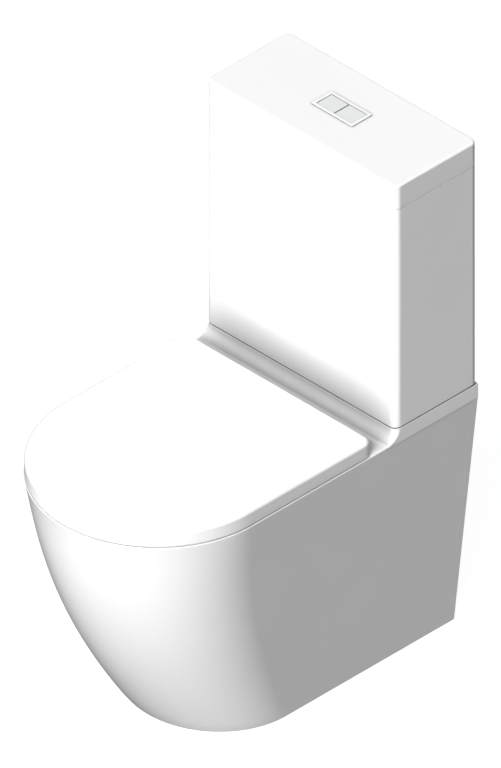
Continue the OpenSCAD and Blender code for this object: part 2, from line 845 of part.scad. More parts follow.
module shank_nut() {
    color(grey_plastic) at_fill_valve(tank_base_h - shank_nut_h) difference() {
        cylinder(r = shank_nut_r, h = shank_nut_h, $fn = 6);
        translate([0, 0, -1]) cylinder(r = shank_r + running_fit, h = shank_nut_h + 2);
    }
}

module inlet_filter() {
    color(blue_plastic) at_fill_valve(tank_base_h - inlet_l + 3) difference() {
        cylinder(r = 6.9, h = 22);
        translate([0, 0, -1]) cylinder(r = 5.9, h = 21);
        for (turn = [0:45:315], level = [6, 12]) rotate([0, 0, turn]) translate([6, 0, level])
            x_rod(1, 4);
    }
}

module fill_valve_head() {
    color(grey_plastic) at_fill_valve(riser_top_h) difference() {
        union() {
            cylinder(r = riser_r + 7, h = head_h);
            translate([riser_r + 5, 0, head_h - 12]) x_rod(6, 20);
            translate([riser_r + 15, 0, head_h - 60]) cylinder(r = 6, h = 48);
            translate([riser_r + 15, 0, head_h - 12]) sphere(r = 6);
        }
        translate([0, 0, -1]) cylinder(r = 4.5, h = head_h - 3);
        translate([riser_r + 5, 0, head_h - 12]) x_rod(4, 20);
        translate([riser_r + 15, 0, head_h - 61]) cylinder(r = 4, h = 49);
        translate([riser_r + 15, 0, head_h - 12]) sphere(r = 4);
    }
}

module lever_ear() {
    rotate([0, 90, 0]) linear_extrude(3, center = true) difference() {
        union() {
            circle(r = 4);
            translate([0, -4]) square([lever_axis_h - valve_cap_top_h + 1, 8]);
        }
        circle(r = lever_pin_r + running_fit);
    }
}

module fill_valve_cap() {
    color(blue_plastic) at_fill_valve(0) {
        translate([0, 0, riser_top_h + head_h]) cylinder(r = riser_r + 8, h = valve_cap_h);
        for (side = [-1, 1])
            translate([side * (lever_w / 2 + slide_gap + 1.5), lever_pivot_offset, lever_axis_h]) lever_ear();
    }
}

module lever_pin() {
    color(steel) at_fill_valve(lever_axis_h) translate([0, lever_pivot_offset, 0])
        x_rod(lever_pin_r, lever_w + 2 * slide_gap + 6);
}

module float_lever() {
    color(blue_plastic) at_fill_valve(lever_axis_h) translate([0, lever_pivot_offset, 0]) difference() {
        union() {
            x_rod(lever_t / 2 + 0.5, lever_w);
            translate([-lever_w / 2, -lever_arm - 5, -lever_t / 2]) cube([lever_w, lever_arm + 5, lever_t]);
        }
        x_rod(lever_pin_r + running_fit, lever_w + 2);
    }
}

// Float cup that slides on the riser, open below, with a guide slot for the head's outlet pipe
module fill_float() {
    slot_x = riser_r + 7;
    color(blue_plastic) at_fill_valve(float_top_h - float_h) difference() {
        cylinder(r = float_r, h = float_h);
        translate([0, 0, -1]) cylinder(r = riser_r + loose_gap, h = float_h + 2);
        translate([slot_x, -8, -1]) cube([float_r, 16, float_h + 2]);
        difference() {
            translate([0, 0, -1]) tube(float_r - 2, riser_r + loose_gap + 2, float_h - 1);
            translate([slot_x - 2, -10, -2]) cube([float_r, 20, float_h + 2]);
        }
    }
}

module float_rod() {
    tip_h = lever_axis_h - lever_t / 2 - slide_gap;
    color(steel) at_fill_valve(0) translate([0, lever_pivot_offset - lever_arm, 0]) {
        translate([0, 0, float_top_h]) cylinder(r = link_r, h = tip_h - link_r - float_top_h);
        translate([0, 0, tip_h - link_r]) sphere(r = link_r);
        translate([0, 0, float_top_h]) cylinder(r = 3, h = 3);
    }
}

// ---- Cistern lid and buttons ----

// Rounded block whose top edge is rounded too, built from exact rounds
module lid_outer() {
    w = body_w / 2;
    d = cistern_mid;
    r = lid_edge_r;
    c = corner_r;
    rounded_block(body_w, cistern_d, lid_h - r, c);
    for (x = [-1, 1], y = [-1, 1]) translate([x * (w - c), y * (d - c), lid_h - r])
        rotate_extrude() {
            square([c - r, r]);
            intersection() {
                translate([c - r, 0]) circle(r = r);
                square([c, r]);
            }
        }
    translate([0, 0, lid_h - r]) {
        for (y = [-1, 1]) translate([0, y * (d - r), 0]) intersection() {
            x_rod(r, body_w - 2 * c);
            translate([-w, -r, 0]) cube([2 * w, 2 * r, r]);
        }
        for (x = [-1, 1]) translate([x * (w - r), 0, 0]) intersection() {
            y_rod(r, cistern_d - 2 * c);
            translate([-r, -d, 0]) cube([2 * r, 2 * d, r]);
        }
        translate([c - w, r - d, 0]) cube([2 * (w - c), 2 * (d - r), r]);
        translate([r - w, c - d, 0]) cube([2 * (w - r), 2 * (d - c), r]);
    }
}

tray_w = button_opening_w + 2 * tray_t;
tray_d = button_opening_d + 2 * tray_t;

module cistern_lid() {
    inner_w = body_w - 2 * lid_t;
    inner_d = cistern_d - 2 * lid_t;
    lip_w = body_w - 2 * tank_t - 3;
    lip_d = cistern_d - 2 * tank_t - 3;
    color(china) place() translate([0, -cistern_mid, 0]) difference() {
        union() {
            translate([0, 0, lid_base_h]) lid_outer();
            translate([0, 0, lid_base_h - lip_depth]) rounded_block(lip_w, lip_d, lip_depth + 10, 6);
        }
        translate([0, 0, lid_base_h + 5]) rounded_block(inner_w, inner_d, lid_h - lid_top_t - 5, 5);
        translate([0, 0, lid_base_h - lip_depth - 1])
            rounded_block(lip_w - 10, lip_d - 10, lip_depth + 10, 4);
        translate([0, 0, lid_ceiling_h - 1]) rounded_block(tray_w + 2, tray_d + 2, lid_top_t + 2, 3);
    }
}

module at_buttons(z) {
    place() translate([0, -cistern_mid, z]) children();
}

module button_bezel() {
    color(chrome) at_buttons(0) difference() {
        union() {
            translate([0, 0, lid_top_h]) rounded_block(bezel_w, bezel_d, bezel_h, 1.5);
            translate([0, 0, tray_base_h]) rounded_block(tray_w, tray_d, tray_depth + 0.5, 2);
        }
        translate([0, 0, tray_base_h + tray_floor_t])
            rounded_block(button_opening_w, button_opening_d, tray_depth + 5, 1);
        translate([0, 0, tray_base_h - 1]) pair(button_x) cylinder(r = stem_r + slide_gap, h = tray_floor_t + 2);
    }
}

// Frame that grips the tray under the lid's top
module bezel_retainer() {
    color(grey_plastic) at_buttons(lid_ceiling_h - 4) difference() {
        rounded_block(tray_w + 22, tray_d + 16, 4, 4);
        translate([0, 0, -1]) rounded_block(tray_w + 0.4, tray_d + 0.4, 6, 2.2);
    }
}

module button() {
    color(button_white) difference() {
        union() {
            translate([0, 0, button_top_h - button_h]) rounded_block(button_w, button_d, button_h, 1);
            translate([0, 0, tray_base_h - 7]) cylinder(r = stem_r, h = button_top_h - tray_base_h + 6);
        }
        translate([0, 0, button_top_h - button_h - 1]) difference() {
            rounded_block(button_w - 2 * button_skirt_t, button_d - 2 * button_skirt_t,
                          button_h - button_t + 1, 0.6);
            translate([0, 0, -1]) cylinder(r = stem_r, h = button_h + 2);
        }
        translate([0, 0, tray_base_h - 8]) cylinder(r = rod_bore_r, h = 20);
    }
}

module half_button() {
    at_buttons(0) translate([-button_x, 0, 0]) button();
}

module full_button() {
    at_buttons(0) translate([button_x, 0, 0]) button();
}

// Cranked rod from a button's stem out to its rocker
module push_rod() {
    tip_h = rocker_axis_h + rocker_t + slide_gap;
    bar_l = rod_foot_x - button_x;
    color(grey_plastic) {
        translate([button_x, 0, rod_bar_h]) cylinder(r = rod_r, h = tray_base_h - rod_bar_h + 10);
        translate([button_x - 3, -3, rod_bar_h - 5]) cube([bar_l + 6, 6, 5]);
        translate([rod_foot_x, 0, tip_h + rod_foot_r])
            cylinder(r = rod_foot_r, h = rod_bar_h - 5 - tip_h - rod_foot_r + EPS);
        translate([rod_foot_x, 0, tip_h + rod_foot_r]) sphere(r = rod_foot_r);
    }
}

module full_push_rod() {
    at_buttons(0) push_rod();
}

module half_push_rod() {
    at_buttons(0) mirror([1, 0, 0]) push_rod();
}

// A coil of round wire, swept as rings of six points
module coil_spring(r, wire_r, h, turns) {
    per_turn = 14;
    rings = turns * per_turn;
    rise = h - 2 * wire_r;
    points = [for (i = [0:rings]) let (a = 360 * i / per_turn) for (k = [0:5])
        let (b = 60 * k, rr = r + wire_r * cos(b))
        [rr * cos(a), rr * sin(a), wire_r + rise * i / rings + wire_r * sin(b)]];
    polyhedron(
        points = points,
        faces = concat(
            [[0, 1, 2, 3, 4, 5]],
            [[for (k = [5:-1:0]) rings * 6 + k]],
            [for (i = [0:rings - 1]) for (k = [0:5])
                [i * 6 + k, (i + 1) * 6 + k, (i + 1) * 6 + (k + 1) % 6]],
            [for (i = [0:rings - 1]) for (k = [0:5])
                [i * 6 + k, (i + 1) * 6 + (k + 1) % 6, i * 6 + (k + 1) % 6]]
        )
    );
}

module button_spring(side) {
    floor_h = tray_base_h + tray_floor_t;
    color(steel) at_buttons(floor_h) translate([side * button_x, 0, 0])
        coil_spring(spring_r, 0.5, button_top_h - button_t - floor_h, 5);
}

module half_spring() {
    button_spring(-1);
}

module full_spring() {
    button_spring(1);
}

// ---- Seat ----

// Plan of the seat: straight sides, a half circle in front and a straight back
module seat_plan(inset, back) {
    half_w = rim_w / 2 - inset;
    translate([0, -rim_curve_start]) circle(r = half_w);
    translate([-half_w, -rim_curve_start]) square([2 * half_w, rim_curve_start - back]);
}

// Half section of the lid: rounded top edge, skirt and hollow underside
module lid_section() {
    r = seat_edge_r;
    w = seat_w / 2;
    t = seat_lid_t;
    inner_r = max(r - t, 0.5);
    difference() {
        union() {
            translate([0, deck_h + seat_gap]) square([w, seat_h - seat_gap - r]);
            translate([0, seat_top_h - r]) square([w - r, r]);
            translate([w - r, seat_top_h - r]) intersection() {
                circle(r = r);
                square(r);
            }
        }
        translate([-1, deck_h]) square([w - t + 1, seat_h - t - inner_r]);
        translate([-1, deck_h]) square([w - t - inner_r + 1, seat_h - t]);
        translate([w - t - inner_r, seat_ceiling_h - inner_r]) circle(r = inner_r);
    }
}

module lid_shell() {
    intersection() {
        union() {
            translate([0, -rim_curve_start, 0]) rotate([0, 0, 180]) rotate_extrude(angle = 180) lid_section();
            translate([0, -rim_curve_start, 0]) rotate([90, 0, 180]) linear_extrude(rim_curve_start - seat_back) {
                lid_section();
                mirror([1, 0]) lid_section();
            }
        }
        translate([0, 0, deck_h]) linear_extrude(seat_h + 1) {
            translate([0, -seat_back - projection / 2]) rounded_square(body_w, projection, seat_corner_r);
        }
    }
}

// Lug on the hinge axis that reaches forward to the part it carries
module hinge_lug(x, l, forward, low, high) {
    translate([x, seat_axis[1], seat_axis[2]]) {
        x_rod(hub_r, l);
        translate([-l / 2, -forward, low]) cube([l, forward, high - low]);
    }
}

damper_x = fixing_x - barrel_l / 2 - hub_gap - damper_l / 2;
damper_hub_l = damper_l + 6;
damper_hub_x = fixing_x - barrel_l / 2 - hub_gap - damper_hub_l / 2;
ear_x = fixing_x + barrel_l / 2 + hub_gap + ear_l / 2;

module axis_bores(side) {
    translate([0, seat_axis[1], seat_axis[2]]) {
        translate([side * (damper_x + 1), 0, 0]) x_rod(damper_r + running_fit, damper_l + 2);
        translate([-side * ear_x, 0, 0]) x_rod(pin_r + running_fit, ear_l + 2);
    }
}

module seat_ring() {
    reach = ring_back - seat_back - axis_inset + 4;
    low = ring_h - seat_axis[2];
    color(seat_white) place() difference() {
        union() {
            translate([0, 0, ring_h]) linear_extrude(ring_t) difference() {
                seat_plan(ring_inset, ring_back);
                for (y = [ring_opening_back, ring_opening_front - ring_opening_w])
                    translate([0, -y - ring_opening_w / 2]) circle(r = ring_opening_w / 2);
                translate([-ring_opening_w / 2, -ring_opening_front + ring_opening_w / 2])
                    square([ring_opening_w, ring_opening_front - ring_opening_back - ring_opening_w]);
            }
            hinge_lug(damper_hub_x, damper_hub_l, reach, low + 1, low + ring_t - 1);
            hinge_lug(-ear_x, ear_l, reach, low + 1, low + ring_t - 1);
        }
        axis_bores(1);
    }
}

buffer_r = 8;
front_buffer_set = 89;
back_buffer_set = 62;
buffer_inset = 40;
front_buffer_y = rim_curve_start + front_buffer_set;
back_buffer_y = ring_back + back_buffer_set;
buffer_x = body_w / 2 - buffer_inset;

module ring_buffers() {
    color(rubber) place() translate([0, 0, deck_h + slide_gap]) pair(buffer_x)
        for (y = [front_buffer_y, back_buffer_y]) translate([0, -y, 0])
            cylinder(r = buffer_r, h = ring_lift - slide_gap);
}

// The lid's edges behind the axis keep inside the circle that clears the deck as the lid opens
module swing_trim() {
    difference() {
        translate([-body_w, seat_axis[1], deck_h - 5]) cube([2 * body_w, 60, axis_h + 5]);
        translate(seat_axis) x_rod(swing_r, 3 * body_w);
    }
}

module seat_lid() {
    web_low = 0;
    web_high = seat_ceiling_h - seat_axis[2] + 0.5;
    color(seat_white) place() difference() {
        union() {
            difference() {
                lid_shell();
                swing_trim();
            }
            hinge_lug(-damper_hub_x, damper_hub_l, hub_r, web_low, web_high);
            hinge_lug(ear_x, ear_l, hub_r, web_low, web_high);
        }
        axis_bores(-1);
    }
}

lid_buffer_r = 6;
lid_buffer_set = 40;

module lid_buffers() {
    low = ring_h + ring_t + slide_gap;
    color(rubber) place() translate([0, 0, low]) {
        translate([0, -(ring_opening_front + projection) / 2 + 4, 0])
            cylinder(r = lid_buffer_r, h = seat_ceiling_h - low);
        pair(buffer_x) translate([0, -back_buffer_y - lid_buffer_set, 0])
            cylinder(r = lid_buffer_r, h = seat_ceiling_h - low);
    }
}

// Damper cartridge on the hinge axis: its socket takes the end of the pin
module damper(side) {
    color(grey_plastic) place() translate([side * damper_x, seat_axis[1], seat_axis[2]]) difference() {
        x_rod(damper_r, damper_l);
        translate([side * damper_l / 2, 0, 0]) x_rod(pin_r + running_fit, 26);
    }
}

module ring_damper() {
    damper(1);
}

module lid_damper() {
    damper(-1);
}

// ---- Seat hinge and fixings ----

module at_fixings(z) {
    place() translate([0, seat_axis[1], z]) pair(fixing_x) children();
}

module hinge_plates() {
    color(chrome) at_fixings(deck_h) tube(plate_r, seat_bolt_r + 0.3, plate_t);
}

module hinge_pillars() {
    color(chrome) at_fixings(0) difference() {
        union() {
            translate([0, 0, deck_h + plate_t]) cylinder(r = barrel_r - 0.2, h = axis_h - plate_t);
            translate([0, 0, seat_axis[2]]) x_rod(barrel_r, barrel_l);
        }
        translate([0, 0, deck_h + plate_t - 1]) cylinder(r = 5.3, h = 5);
        translate([0, 0, seat_axis[2]]) x_rod(pin_r + running_fit, barrel_l + 2);
    }
}

pin_in = 12;

// Each pin runs through its barrel, out into an ear and in to a damper
module hinge_pins() {
    outer = barrel_l / 2 + hub_gap + ear_l;
    inner = barrel_l / 2 + hub_gap + pin_in;
    color(steel) place() translate([0, seat_axis[1], seat_axis[2]]) for (side = [-1, 1])
        translate([side * (fixing_x + (outer - inner) / 2), 0, 0]) x_rod(pin_r, outer + inner);
}

module seat_bolts() {
    color(steel) at_fixings(0) {
        translate([0, 0, deck_h + plate_t]) cylinder(r = 5, h = 3);
        translate([0, 0, deck_h - 42]) cylinder(r = seat_bolt_r, h = 42 + plate_t + 1);
    }
}

module seat_bushes() {
    color(rubber) at_fixings(deck_h - 27) tube(seat_bush_r, seat_bolt_r + 0.2, 26.5);
}

module seat_nuts() {
    color(steel) at_fixings(deck_h - 35) difference() {
        cylinder(r = seat_bush_r - 0.4, h = 8);
        translate([0, 0, -1]) cylinder(r = seat_bolt_r + running_fit, h = 10);
    }
}

pan();
floor_brackets();
cistern_tank();
cistern_pads();
coupling_gasket();
coupling_bolts();
bolt_seals();
coupling_washers();
wing_nuts();
flush_valve_base();
base_washer();
base_nut();
flush_tower();
tower_cap();
rocker_pins();
flush_plunger();
plunger_seal();
half_flush_float();
half_rocker();
full_rocker();
fill_valve_shank();
shank_washer();
shank_nut();
inlet_filter();
fill_valve_head();
fill_valve_cap();
lever_pin();
fill_float();
float_rod();
float_lever();
cistern_lid();
button_bezel();
bezel_retainer();
half_spring();
full_spring();
half_button();
half_push_rod();
full_button();
full_push_rod();
seat_ring();
ring_buffers();
ring_damper();
seat_lid();
lid_buffers();
lid_damper();
hinge_plates();
hinge_pillars();
hinge_pins();
seat_bolts();
seat_bushes();
seat_nuts();
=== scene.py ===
# %% [markdown]
# # A close coupled toilet
# The object is a back-to-wall pan with a cistern on its platform, a soft-close seat and two push buttons.
# Every part already exists as a plain solid in a shared frame. This lesson gives each visible part the
# rounded edges, glazes and plastics that the real one has, and leaves every part where the frame holds it.

# %% Load the frame
import json
import math
from collections import namedtuple

import bmesh
import bpy
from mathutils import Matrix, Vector


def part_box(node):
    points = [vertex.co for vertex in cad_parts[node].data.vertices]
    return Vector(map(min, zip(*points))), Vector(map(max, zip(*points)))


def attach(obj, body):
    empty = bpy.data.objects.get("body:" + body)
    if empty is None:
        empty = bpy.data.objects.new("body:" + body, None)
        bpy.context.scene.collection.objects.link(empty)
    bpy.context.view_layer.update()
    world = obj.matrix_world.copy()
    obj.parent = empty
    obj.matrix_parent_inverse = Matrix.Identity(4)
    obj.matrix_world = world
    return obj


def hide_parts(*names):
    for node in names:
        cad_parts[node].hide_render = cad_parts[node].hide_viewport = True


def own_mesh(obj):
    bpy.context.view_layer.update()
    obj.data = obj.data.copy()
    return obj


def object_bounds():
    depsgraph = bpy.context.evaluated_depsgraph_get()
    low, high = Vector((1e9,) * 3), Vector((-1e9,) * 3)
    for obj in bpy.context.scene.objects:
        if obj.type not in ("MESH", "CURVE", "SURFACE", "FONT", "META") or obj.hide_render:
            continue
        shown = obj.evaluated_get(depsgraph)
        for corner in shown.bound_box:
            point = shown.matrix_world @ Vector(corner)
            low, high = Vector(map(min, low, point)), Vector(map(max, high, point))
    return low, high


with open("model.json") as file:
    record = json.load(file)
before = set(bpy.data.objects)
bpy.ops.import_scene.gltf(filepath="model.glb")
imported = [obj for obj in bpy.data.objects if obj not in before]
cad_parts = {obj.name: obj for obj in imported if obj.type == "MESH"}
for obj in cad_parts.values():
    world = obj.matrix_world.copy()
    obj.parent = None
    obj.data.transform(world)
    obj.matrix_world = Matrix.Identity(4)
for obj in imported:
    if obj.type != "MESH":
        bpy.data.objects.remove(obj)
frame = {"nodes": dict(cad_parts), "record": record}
frame_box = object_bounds()

# %% [markdown]
# ## Camera
# The object is seen from above its front right corner with no perspective, as in a catalogue drawing. An
# orthographic camera turned 45 degrees and tilted until all three axes look equally long gives that view.

# %% Camera
VIEW_AZIMUTH = math.radians(45)
VIEW_ELEVATION = math.atan(math.sqrt(0.5))
VIEW_TARGET = Vector((-0.0007, 0.0558, 0.4697))
VIEW_HEIGHT = 1.0861
VIEW_DISTANCE = 4.0


def towards(azimuth, elevation):
    """The direction of a place round the object: azimuth 0 is in front of it and 90 degrees at its right."""
    return Vector((math.sin(azimuth) * math.cos(elevation), -math.cos(azimuth) * math.cos(elevation),
                   math.sin(elevation)))


away = towards(VIEW_AZIMUTH, VIEW_ELEVATION)
camera = bpy.data.objects.new("camera", bpy.data.cameras.new("camera"))
bpy.context.scene.collection.objects.link(camera)
camera.data.type = "ORTHO"
camera.data.ortho_scale = VIEW_HEIGHT
camera.location = VIEW_TARGET + away * VIEW_DISTANCE
camera.rotation_euler = (-away).to_track_quat("-Z", "Y").to_euler()
bpy.context.scene.camera = camera
print("camera stands at", [round(c, 3) for c in camera.location])

# %% [markdown]
# ## Studio
# White china on a white ground is read by its shading alone. One broad light from the front left, at the
# camera's own height, makes the top and the front white, lets the right side fall to a mid grey and leaves
# a soft shadow behind the seat. Two dim lights, from the right and from behind, keep those sides readable.
# A pale floor inside a pale dome is the studio. Neither lights the object by scattered light, and light
# bounces only once between the pieces, because every further bounce washes out the shade that gives white
# china its shape. The floor and the pit below it throw no reflections, so that the outlines stay crisp,
# while the upper dome does: that is what the glaze and the chrome reflect. The floor shows from above only,
# so that the foot and the hollow of the pan can be looked at from below.

# %% Studio
KEY_AZIMUTH = math.radians(15)
KEY_ELEVATION = math.radians(34)
KEY_STRENGTH = 5.4
BACK_AZIMUTH = math.radians(200)
BACK_ELEVATION = math.radians(-10)
BACK_STRENGTH = 0.7
SIDE_AZIMUTH = math.radians(100)
SIDE_STRENGTH = 0.27
LIGHT_WIDTH = math.radians(40)
FILL_STRENGTH = 0.075
STUDIO_SIZE = 14.0


def add_light(name, azimuth, elevation, strength):
    light = bpy.data.objects.new(name, bpy.data.lights.new(name, "SUN"))
    bpy.context.scene.collection.objects.link(light)
    light.data.energy = strength
    light.data.angle = LIGHT_WIDTH
    light.rotation_euler = towards(azimuth, elevation).to_track_quat("Z", "Y").to_euler()


add_light("key_light", KEY_AZIMUTH, KEY_ELEVATION, KEY_STRENGTH)
add_light("back_light", BACK_AZIMUTH, BACK_ELEVATION, BACK_STRENGTH)
add_light("side_light", SIDE_AZIMUTH, 0, SIDE_STRENGTH)
world = bpy.data.worlds.new("studio")
bpy.context.scene.world = world
world.use_nodes = True
world.node_tree.nodes["Background"].inputs["Color"].default_value = (1, 1, 1, 1)
world.node_tree.nodes["Background"].inputs["Strength"].default_value = FILL_STRENGTH
bpy.context.scene.view_settings.view_transform = "Standard"
bpy.context.scene.cycles.diffuse_bounces = 1


def glowing(name, glow, albedo):
    """A pale matt surface that also shines a little by itself."""
    material = bpy.data.materials.new(name)
    material.use_nodes = True
    shader = material.node_tree.nodes["Principled BSDF"]
    shader.inputs["Base Color"].default_value = (albedo, albedo, albedo, 1)
    shader.inputs["Roughness"].default_value = 0.9
    shader.inputs["Specular IOR Level"].default_value = 0
    shader.inputs["Emission Color"].default_value = (1, 1, 1, 1)
    shader.inputs["Emission Strength"].default_value = glow
    return material


def one_sided(material):
    """Lets a surface be seen only from the side that its faces point to."""
    nodes, links = material.node_tree.nodes, material.node_tree.links
    mix = nodes.new("ShaderNodeMixShader")
    links.new(nodes.new("ShaderNodeNewGeometry").outputs["Backfacing"], mix.inputs[0])
    links.new(nodes["Principled BSDF"].outputs[0], mix.inputs[1])
    links.new(nodes.new("ShaderNodeBsdfTransparent").outputs[0], mix.inputs[2])
    links.new(mix.outputs[0], nodes["Material Output"].inputs["Surface"])
    return material


def half_sphere(name, upwards):
    """One half of the studio's shell: the half above the floor or the pit below it."""
    bpy.ops.mesh.primitive_uv_sphere_add(segments=48, ring_count=24, radius=STUDIO_SIZE)
    bpy.ops.object.mode_set(mode="EDIT")
    bpy.ops.mesh.bisect(plane_co=(0, 0, 0), plane_no=(0, 0, upwards), clear_inner=True)
    bpy.ops.object.mode_set(mode="OBJECT")
    shell = bpy.context.object
    shell.name = name
    shell.data.materials.append(glowing(name, 1.0, 0.0))
    return shell


bpy.ops.object.select_all(action="DESELECT")
bpy.ops.mesh.primitive_circle_add(vertices=64, radius=STUDIO_SIZE, fill_type="NGON")
floor = bpy.context.object
floor.name = "studio_floor"
floor.data.materials.append(one_sided(glowing("studio_floor", 0.97, 0.2)))
dome = half_sphere("studio_dome", 1)
pit = half_sphere("studio_pit", -1)
for part in (floor, dome, pit):
    part.visible_shadow = False
    part.visible_diffuse = False
    part.visible_glossy = part == dome
print("key light", KEY_STRENGTH, "fill", FILL_STRENGTH)

# %% [markdown]
# ## Tools for modelling
# Each part is made as at the bench: a primitive is put in place, then faces and edges are picked by where
# they are and extruded, inset or bevelled. These helpers take up the steps that come again and again. Where
# a cutting tool leaves a piece it runs a little past it, and an added solid laps into what it joins, because
# two faces in one plane could leave a skin.

# %% Tools for modelling
MM = 0.001
NEAR = 0.00002
PAST = 1
WELL_PAST = 5
LAP = 2
SHARP_ANGLE = 1
DOWNWARDS = -0.99
SMOOTH_ANGLE = 32
SPRING_SMOOTH_ANGLE = 50
WALL = frame_box[1].y


def from_wall(distance_mm):
    """The y of a point that stands so many millimetres in front of the wall."""
    return WALL - distance_mm * MM


def same(a, b, near=NEAR):
    return abs(a - b) < near


def clear():
    bpy.ops.object.select_all(action="DESELECT")


def alone(piece):
    """Makes the piece the only selected object."""
    if bpy.context.object and bpy.context.object.mode != "OBJECT":
        bpy.ops.object.mode_set(mode="OBJECT")
    clear()
    piece.select_set(True)
    bpy.context.view_layer.objects.active = piece


def settle(name):
    """Names the object just made and puts its place, turn and size into its mesh."""
    piece = bpy.context.object
    piece.name = name
    piece.data.name = name
    alone(piece)
    bpy.ops.object.transform_apply(location=True, rotation=True, scale=True)
    return piece


def edit(piece):
    alone(piece)
    bpy.ops.object.mode_set(mode="EDIT")


def leave_edit():
    bpy.ops.object.mode_set(mode="OBJECT")


def pick(kind, test):
    """Selects the parts of the mesh in edit mode that pass the test. kind is VERT, EDGE or FACE."""
    bpy.ops.mesh.select_mode(type=kind)
    bpy.ops.mesh.select_all(action="DESELECT")
    mesh = bmesh.from_edit_mesh(bpy.context.object.data)
    found = 0
    for part in {"VERT": mesh.verts, "EDGE": mesh.edges, "FACE": mesh.faces}[kind]:
        if test(part):
            part.select_set(True)
            found += 1
    bmesh.update_edit_mesh(bpy.context.object.data)
    return found


def ends(part, test):
    """True if every corner of an edge or face passes the test."""
    return all(test(v.co) for v in part.verts)


def pick_all():
    """Selects the whole mesh in edit mode."""
    bpy.ops.mesh.select_mode(type="EDGE")
    bpy.ops.mesh.select_all(action="SELECT")


def at_height(z_mm):
    return lambda part: ends(part, lambda co: same(co.z, z_mm * MM))


def sharp(edge):
    return edge.calc_face_angle(0) > SHARP_ANGLE


def upright(edge):
    a, b = (v.co for v in edge.verts)
    return same(a.x, b.x) and same(a.y, b.y)


def block(name, low, high):
    """A box between two corners."""
    clear()
    bpy.ops.mesh.primitive_cube_add(size=1, location=(low + high) / 2)
    bpy.context.object.scale = high - low
    return settle(name)


def round_edges(piece, test, radius, steps):
    """Rounds the edges that pass the test. The radius is in millimetres."""
    edit(piece)
    pick("EDGE", test)
    bpy.ops.mesh.bevel(offset=radius * MM, segments=steps, affect="EDGES", clamp_overlap=True)
    leave_edit()


def face_outwards():
    """Turns every face of the mesh in edit mode outwards and leaves edit mode."""
    pick_all()
    bpy.ops.mesh.normals_make_consistent(inside=False)
    leave_edit()


def extrude_to(move):
    """Extrudes the selected edges by a move."""
    bpy.ops.mesh.extrude_edges_move(TRANSFORM_OT_translate={"value": move})


def rounded_block(name, low, high, corner, steps):
    """A box whose upright edges are rounded."""
    piece = block(name, low, high)
    round_edges(piece, upright, corner, steps)
    return piece


def rod(name, start, end, radius, sides=48):
    """A round bar between two points, with its radius in millimetres."""
    clear()
    bpy.ops.mesh.primitive_cylinder_add(vertices=sides, radius=radius * MM, depth=(end - start).length,
                                        location=(start + end) / 2)
    bpy.context.object.rotation_euler = (end - start).to_track_quat("Z", "Y").to_euler()
    return settle(name)


def apply_modifiers(piece):
    alone(piece)
    for modifier in list(piece.modifiers):
        bpy.ops.object.modifier_apply(modifier=modifier.name)


def combine(piece, operation, *tools):
    """Joins other solids to the piece or cuts them out of it. They are used up."""
    for tool in tools:
        modifier = piece.modifiers.new(operation.lower(), "BOOLEAN")
        modifier.operation = operation
        modifier.solver = "EXACT"
        modifier.object = tool
        apply_modifiers(piece)
        bpy.data.objects.remove(tool)
    return piece


def join(piece, *tools):
    return combine(piece, "UNION", *tools)


def cut(piece, *tools):
    return combine(piece, "DIFFERENCE", *tools)


def smooth(piece, angle):
    """Merges doubles, faces all normals outwards and shades round faces smooth and flat faces flat."""
    edit(piece)
    pick_all()
    bpy.ops.mesh.remove_doubles(threshold=NEAR / 4)
    bpy.ops.mesh.normals_make_consistent(inside=False)
    leave_edit()
    bpy.ops.object.shade_smooth_by_angle(angle=math.radians(angle))
    weighted = piece.modifiers.new("weighted", "WEIGHTED_NORMAL")
    weighted.keep_sharp = True
    apply_modifiers(piece)


def curve4(points, t):
    """The cubic curve through a start, two pulls and an end."""
    s = 1 - t
    return s ** 3 * points[0] + 3 * s * s * t * points[1] + 3 * s * t * t * points[2] + t ** 3 * points[3]


print("the wall is at y =", round(WALL, 4))

# %% [markdown]
# ## Sizes from the frame
# The frame tells where each solid stands, so the main sizes are measured on it and not typed. What it can't
# tell at a glance, such as a pull point of the pan's profile, is a named value in millimetres. Distances
# called reach or back are counted from the wall, because that is how the object is set out on site.

# %% Sizes from the frame
def low_high(node, axis):
    """The lowest and highest place of a node along an axis, in millimetres, along Y from the wall."""
    low, high = (getattr(corner, axis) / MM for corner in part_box(node))
    return (WALL / MM - high, WALL / MM - low) if axis == "y" else (low, high)


def middle(node, axis):
    return sum(low_high(node, axis)) / 2


PROJECTION = low_high("pan", "y")[1]
BODY_HALF = low_high("pan", "x")[1]
DECK_H = low_high("hinge_plates", "z")[0]
PLATFORM_H = low_high("pan", "z")[1]
TANK_BASE_H, TANK_TOP_H = low_high("cistern_tank", "z")
CISTERN_D = low_high("cistern_tank", "y")[1]
CISTERN_MID = CISTERN_D / 2
LID_SEAM = 0.5
LID_BASE_H = TANK_TOP_H + LID_SEAM
SEAT_BASE_H, SEAT_TOP_H = low_high("seat_lid", "z")
TRAY_BASE_H, BEZEL_TOP_H = low_high("button_bezel", "z")
SEAT_HALF = low_high("seat_lid", "x")[1]
SEAT_BACK = low_high("seat_lid", "y")[0]
AXIS_BACK = middle("hinge_pins", "y")
AXIS_H = middle("hinge_pins", "z")
print("deck", DECK_H, "platform", PLATFORM_H, "tank", TANK_BASE_H, TANK_TOP_H, "axis", AXIS_BACK, AXIS_H)


def at(x, back, z):
    """A point from millimetres: sideways, distance from the wall, height."""
    return Vector((x * MM, from_wall(back), z * MM))


def post(name, x, back, low, high, radius, sides=48):
    """An upright round bar between two heights."""
    return rod(name, at(x, back, low), at(x, back, high), radius, sides)

# %% [markdown]
# ## Tools for finishes
# A finish is a small network of shader nodes. Wrapping one output in a class that knows +, * and ** lets the
# sums be written as plain expressions, and one method makes every other kind of node. Two more methods tell
# a material where it is: between two heights, or on the level face of a rim.

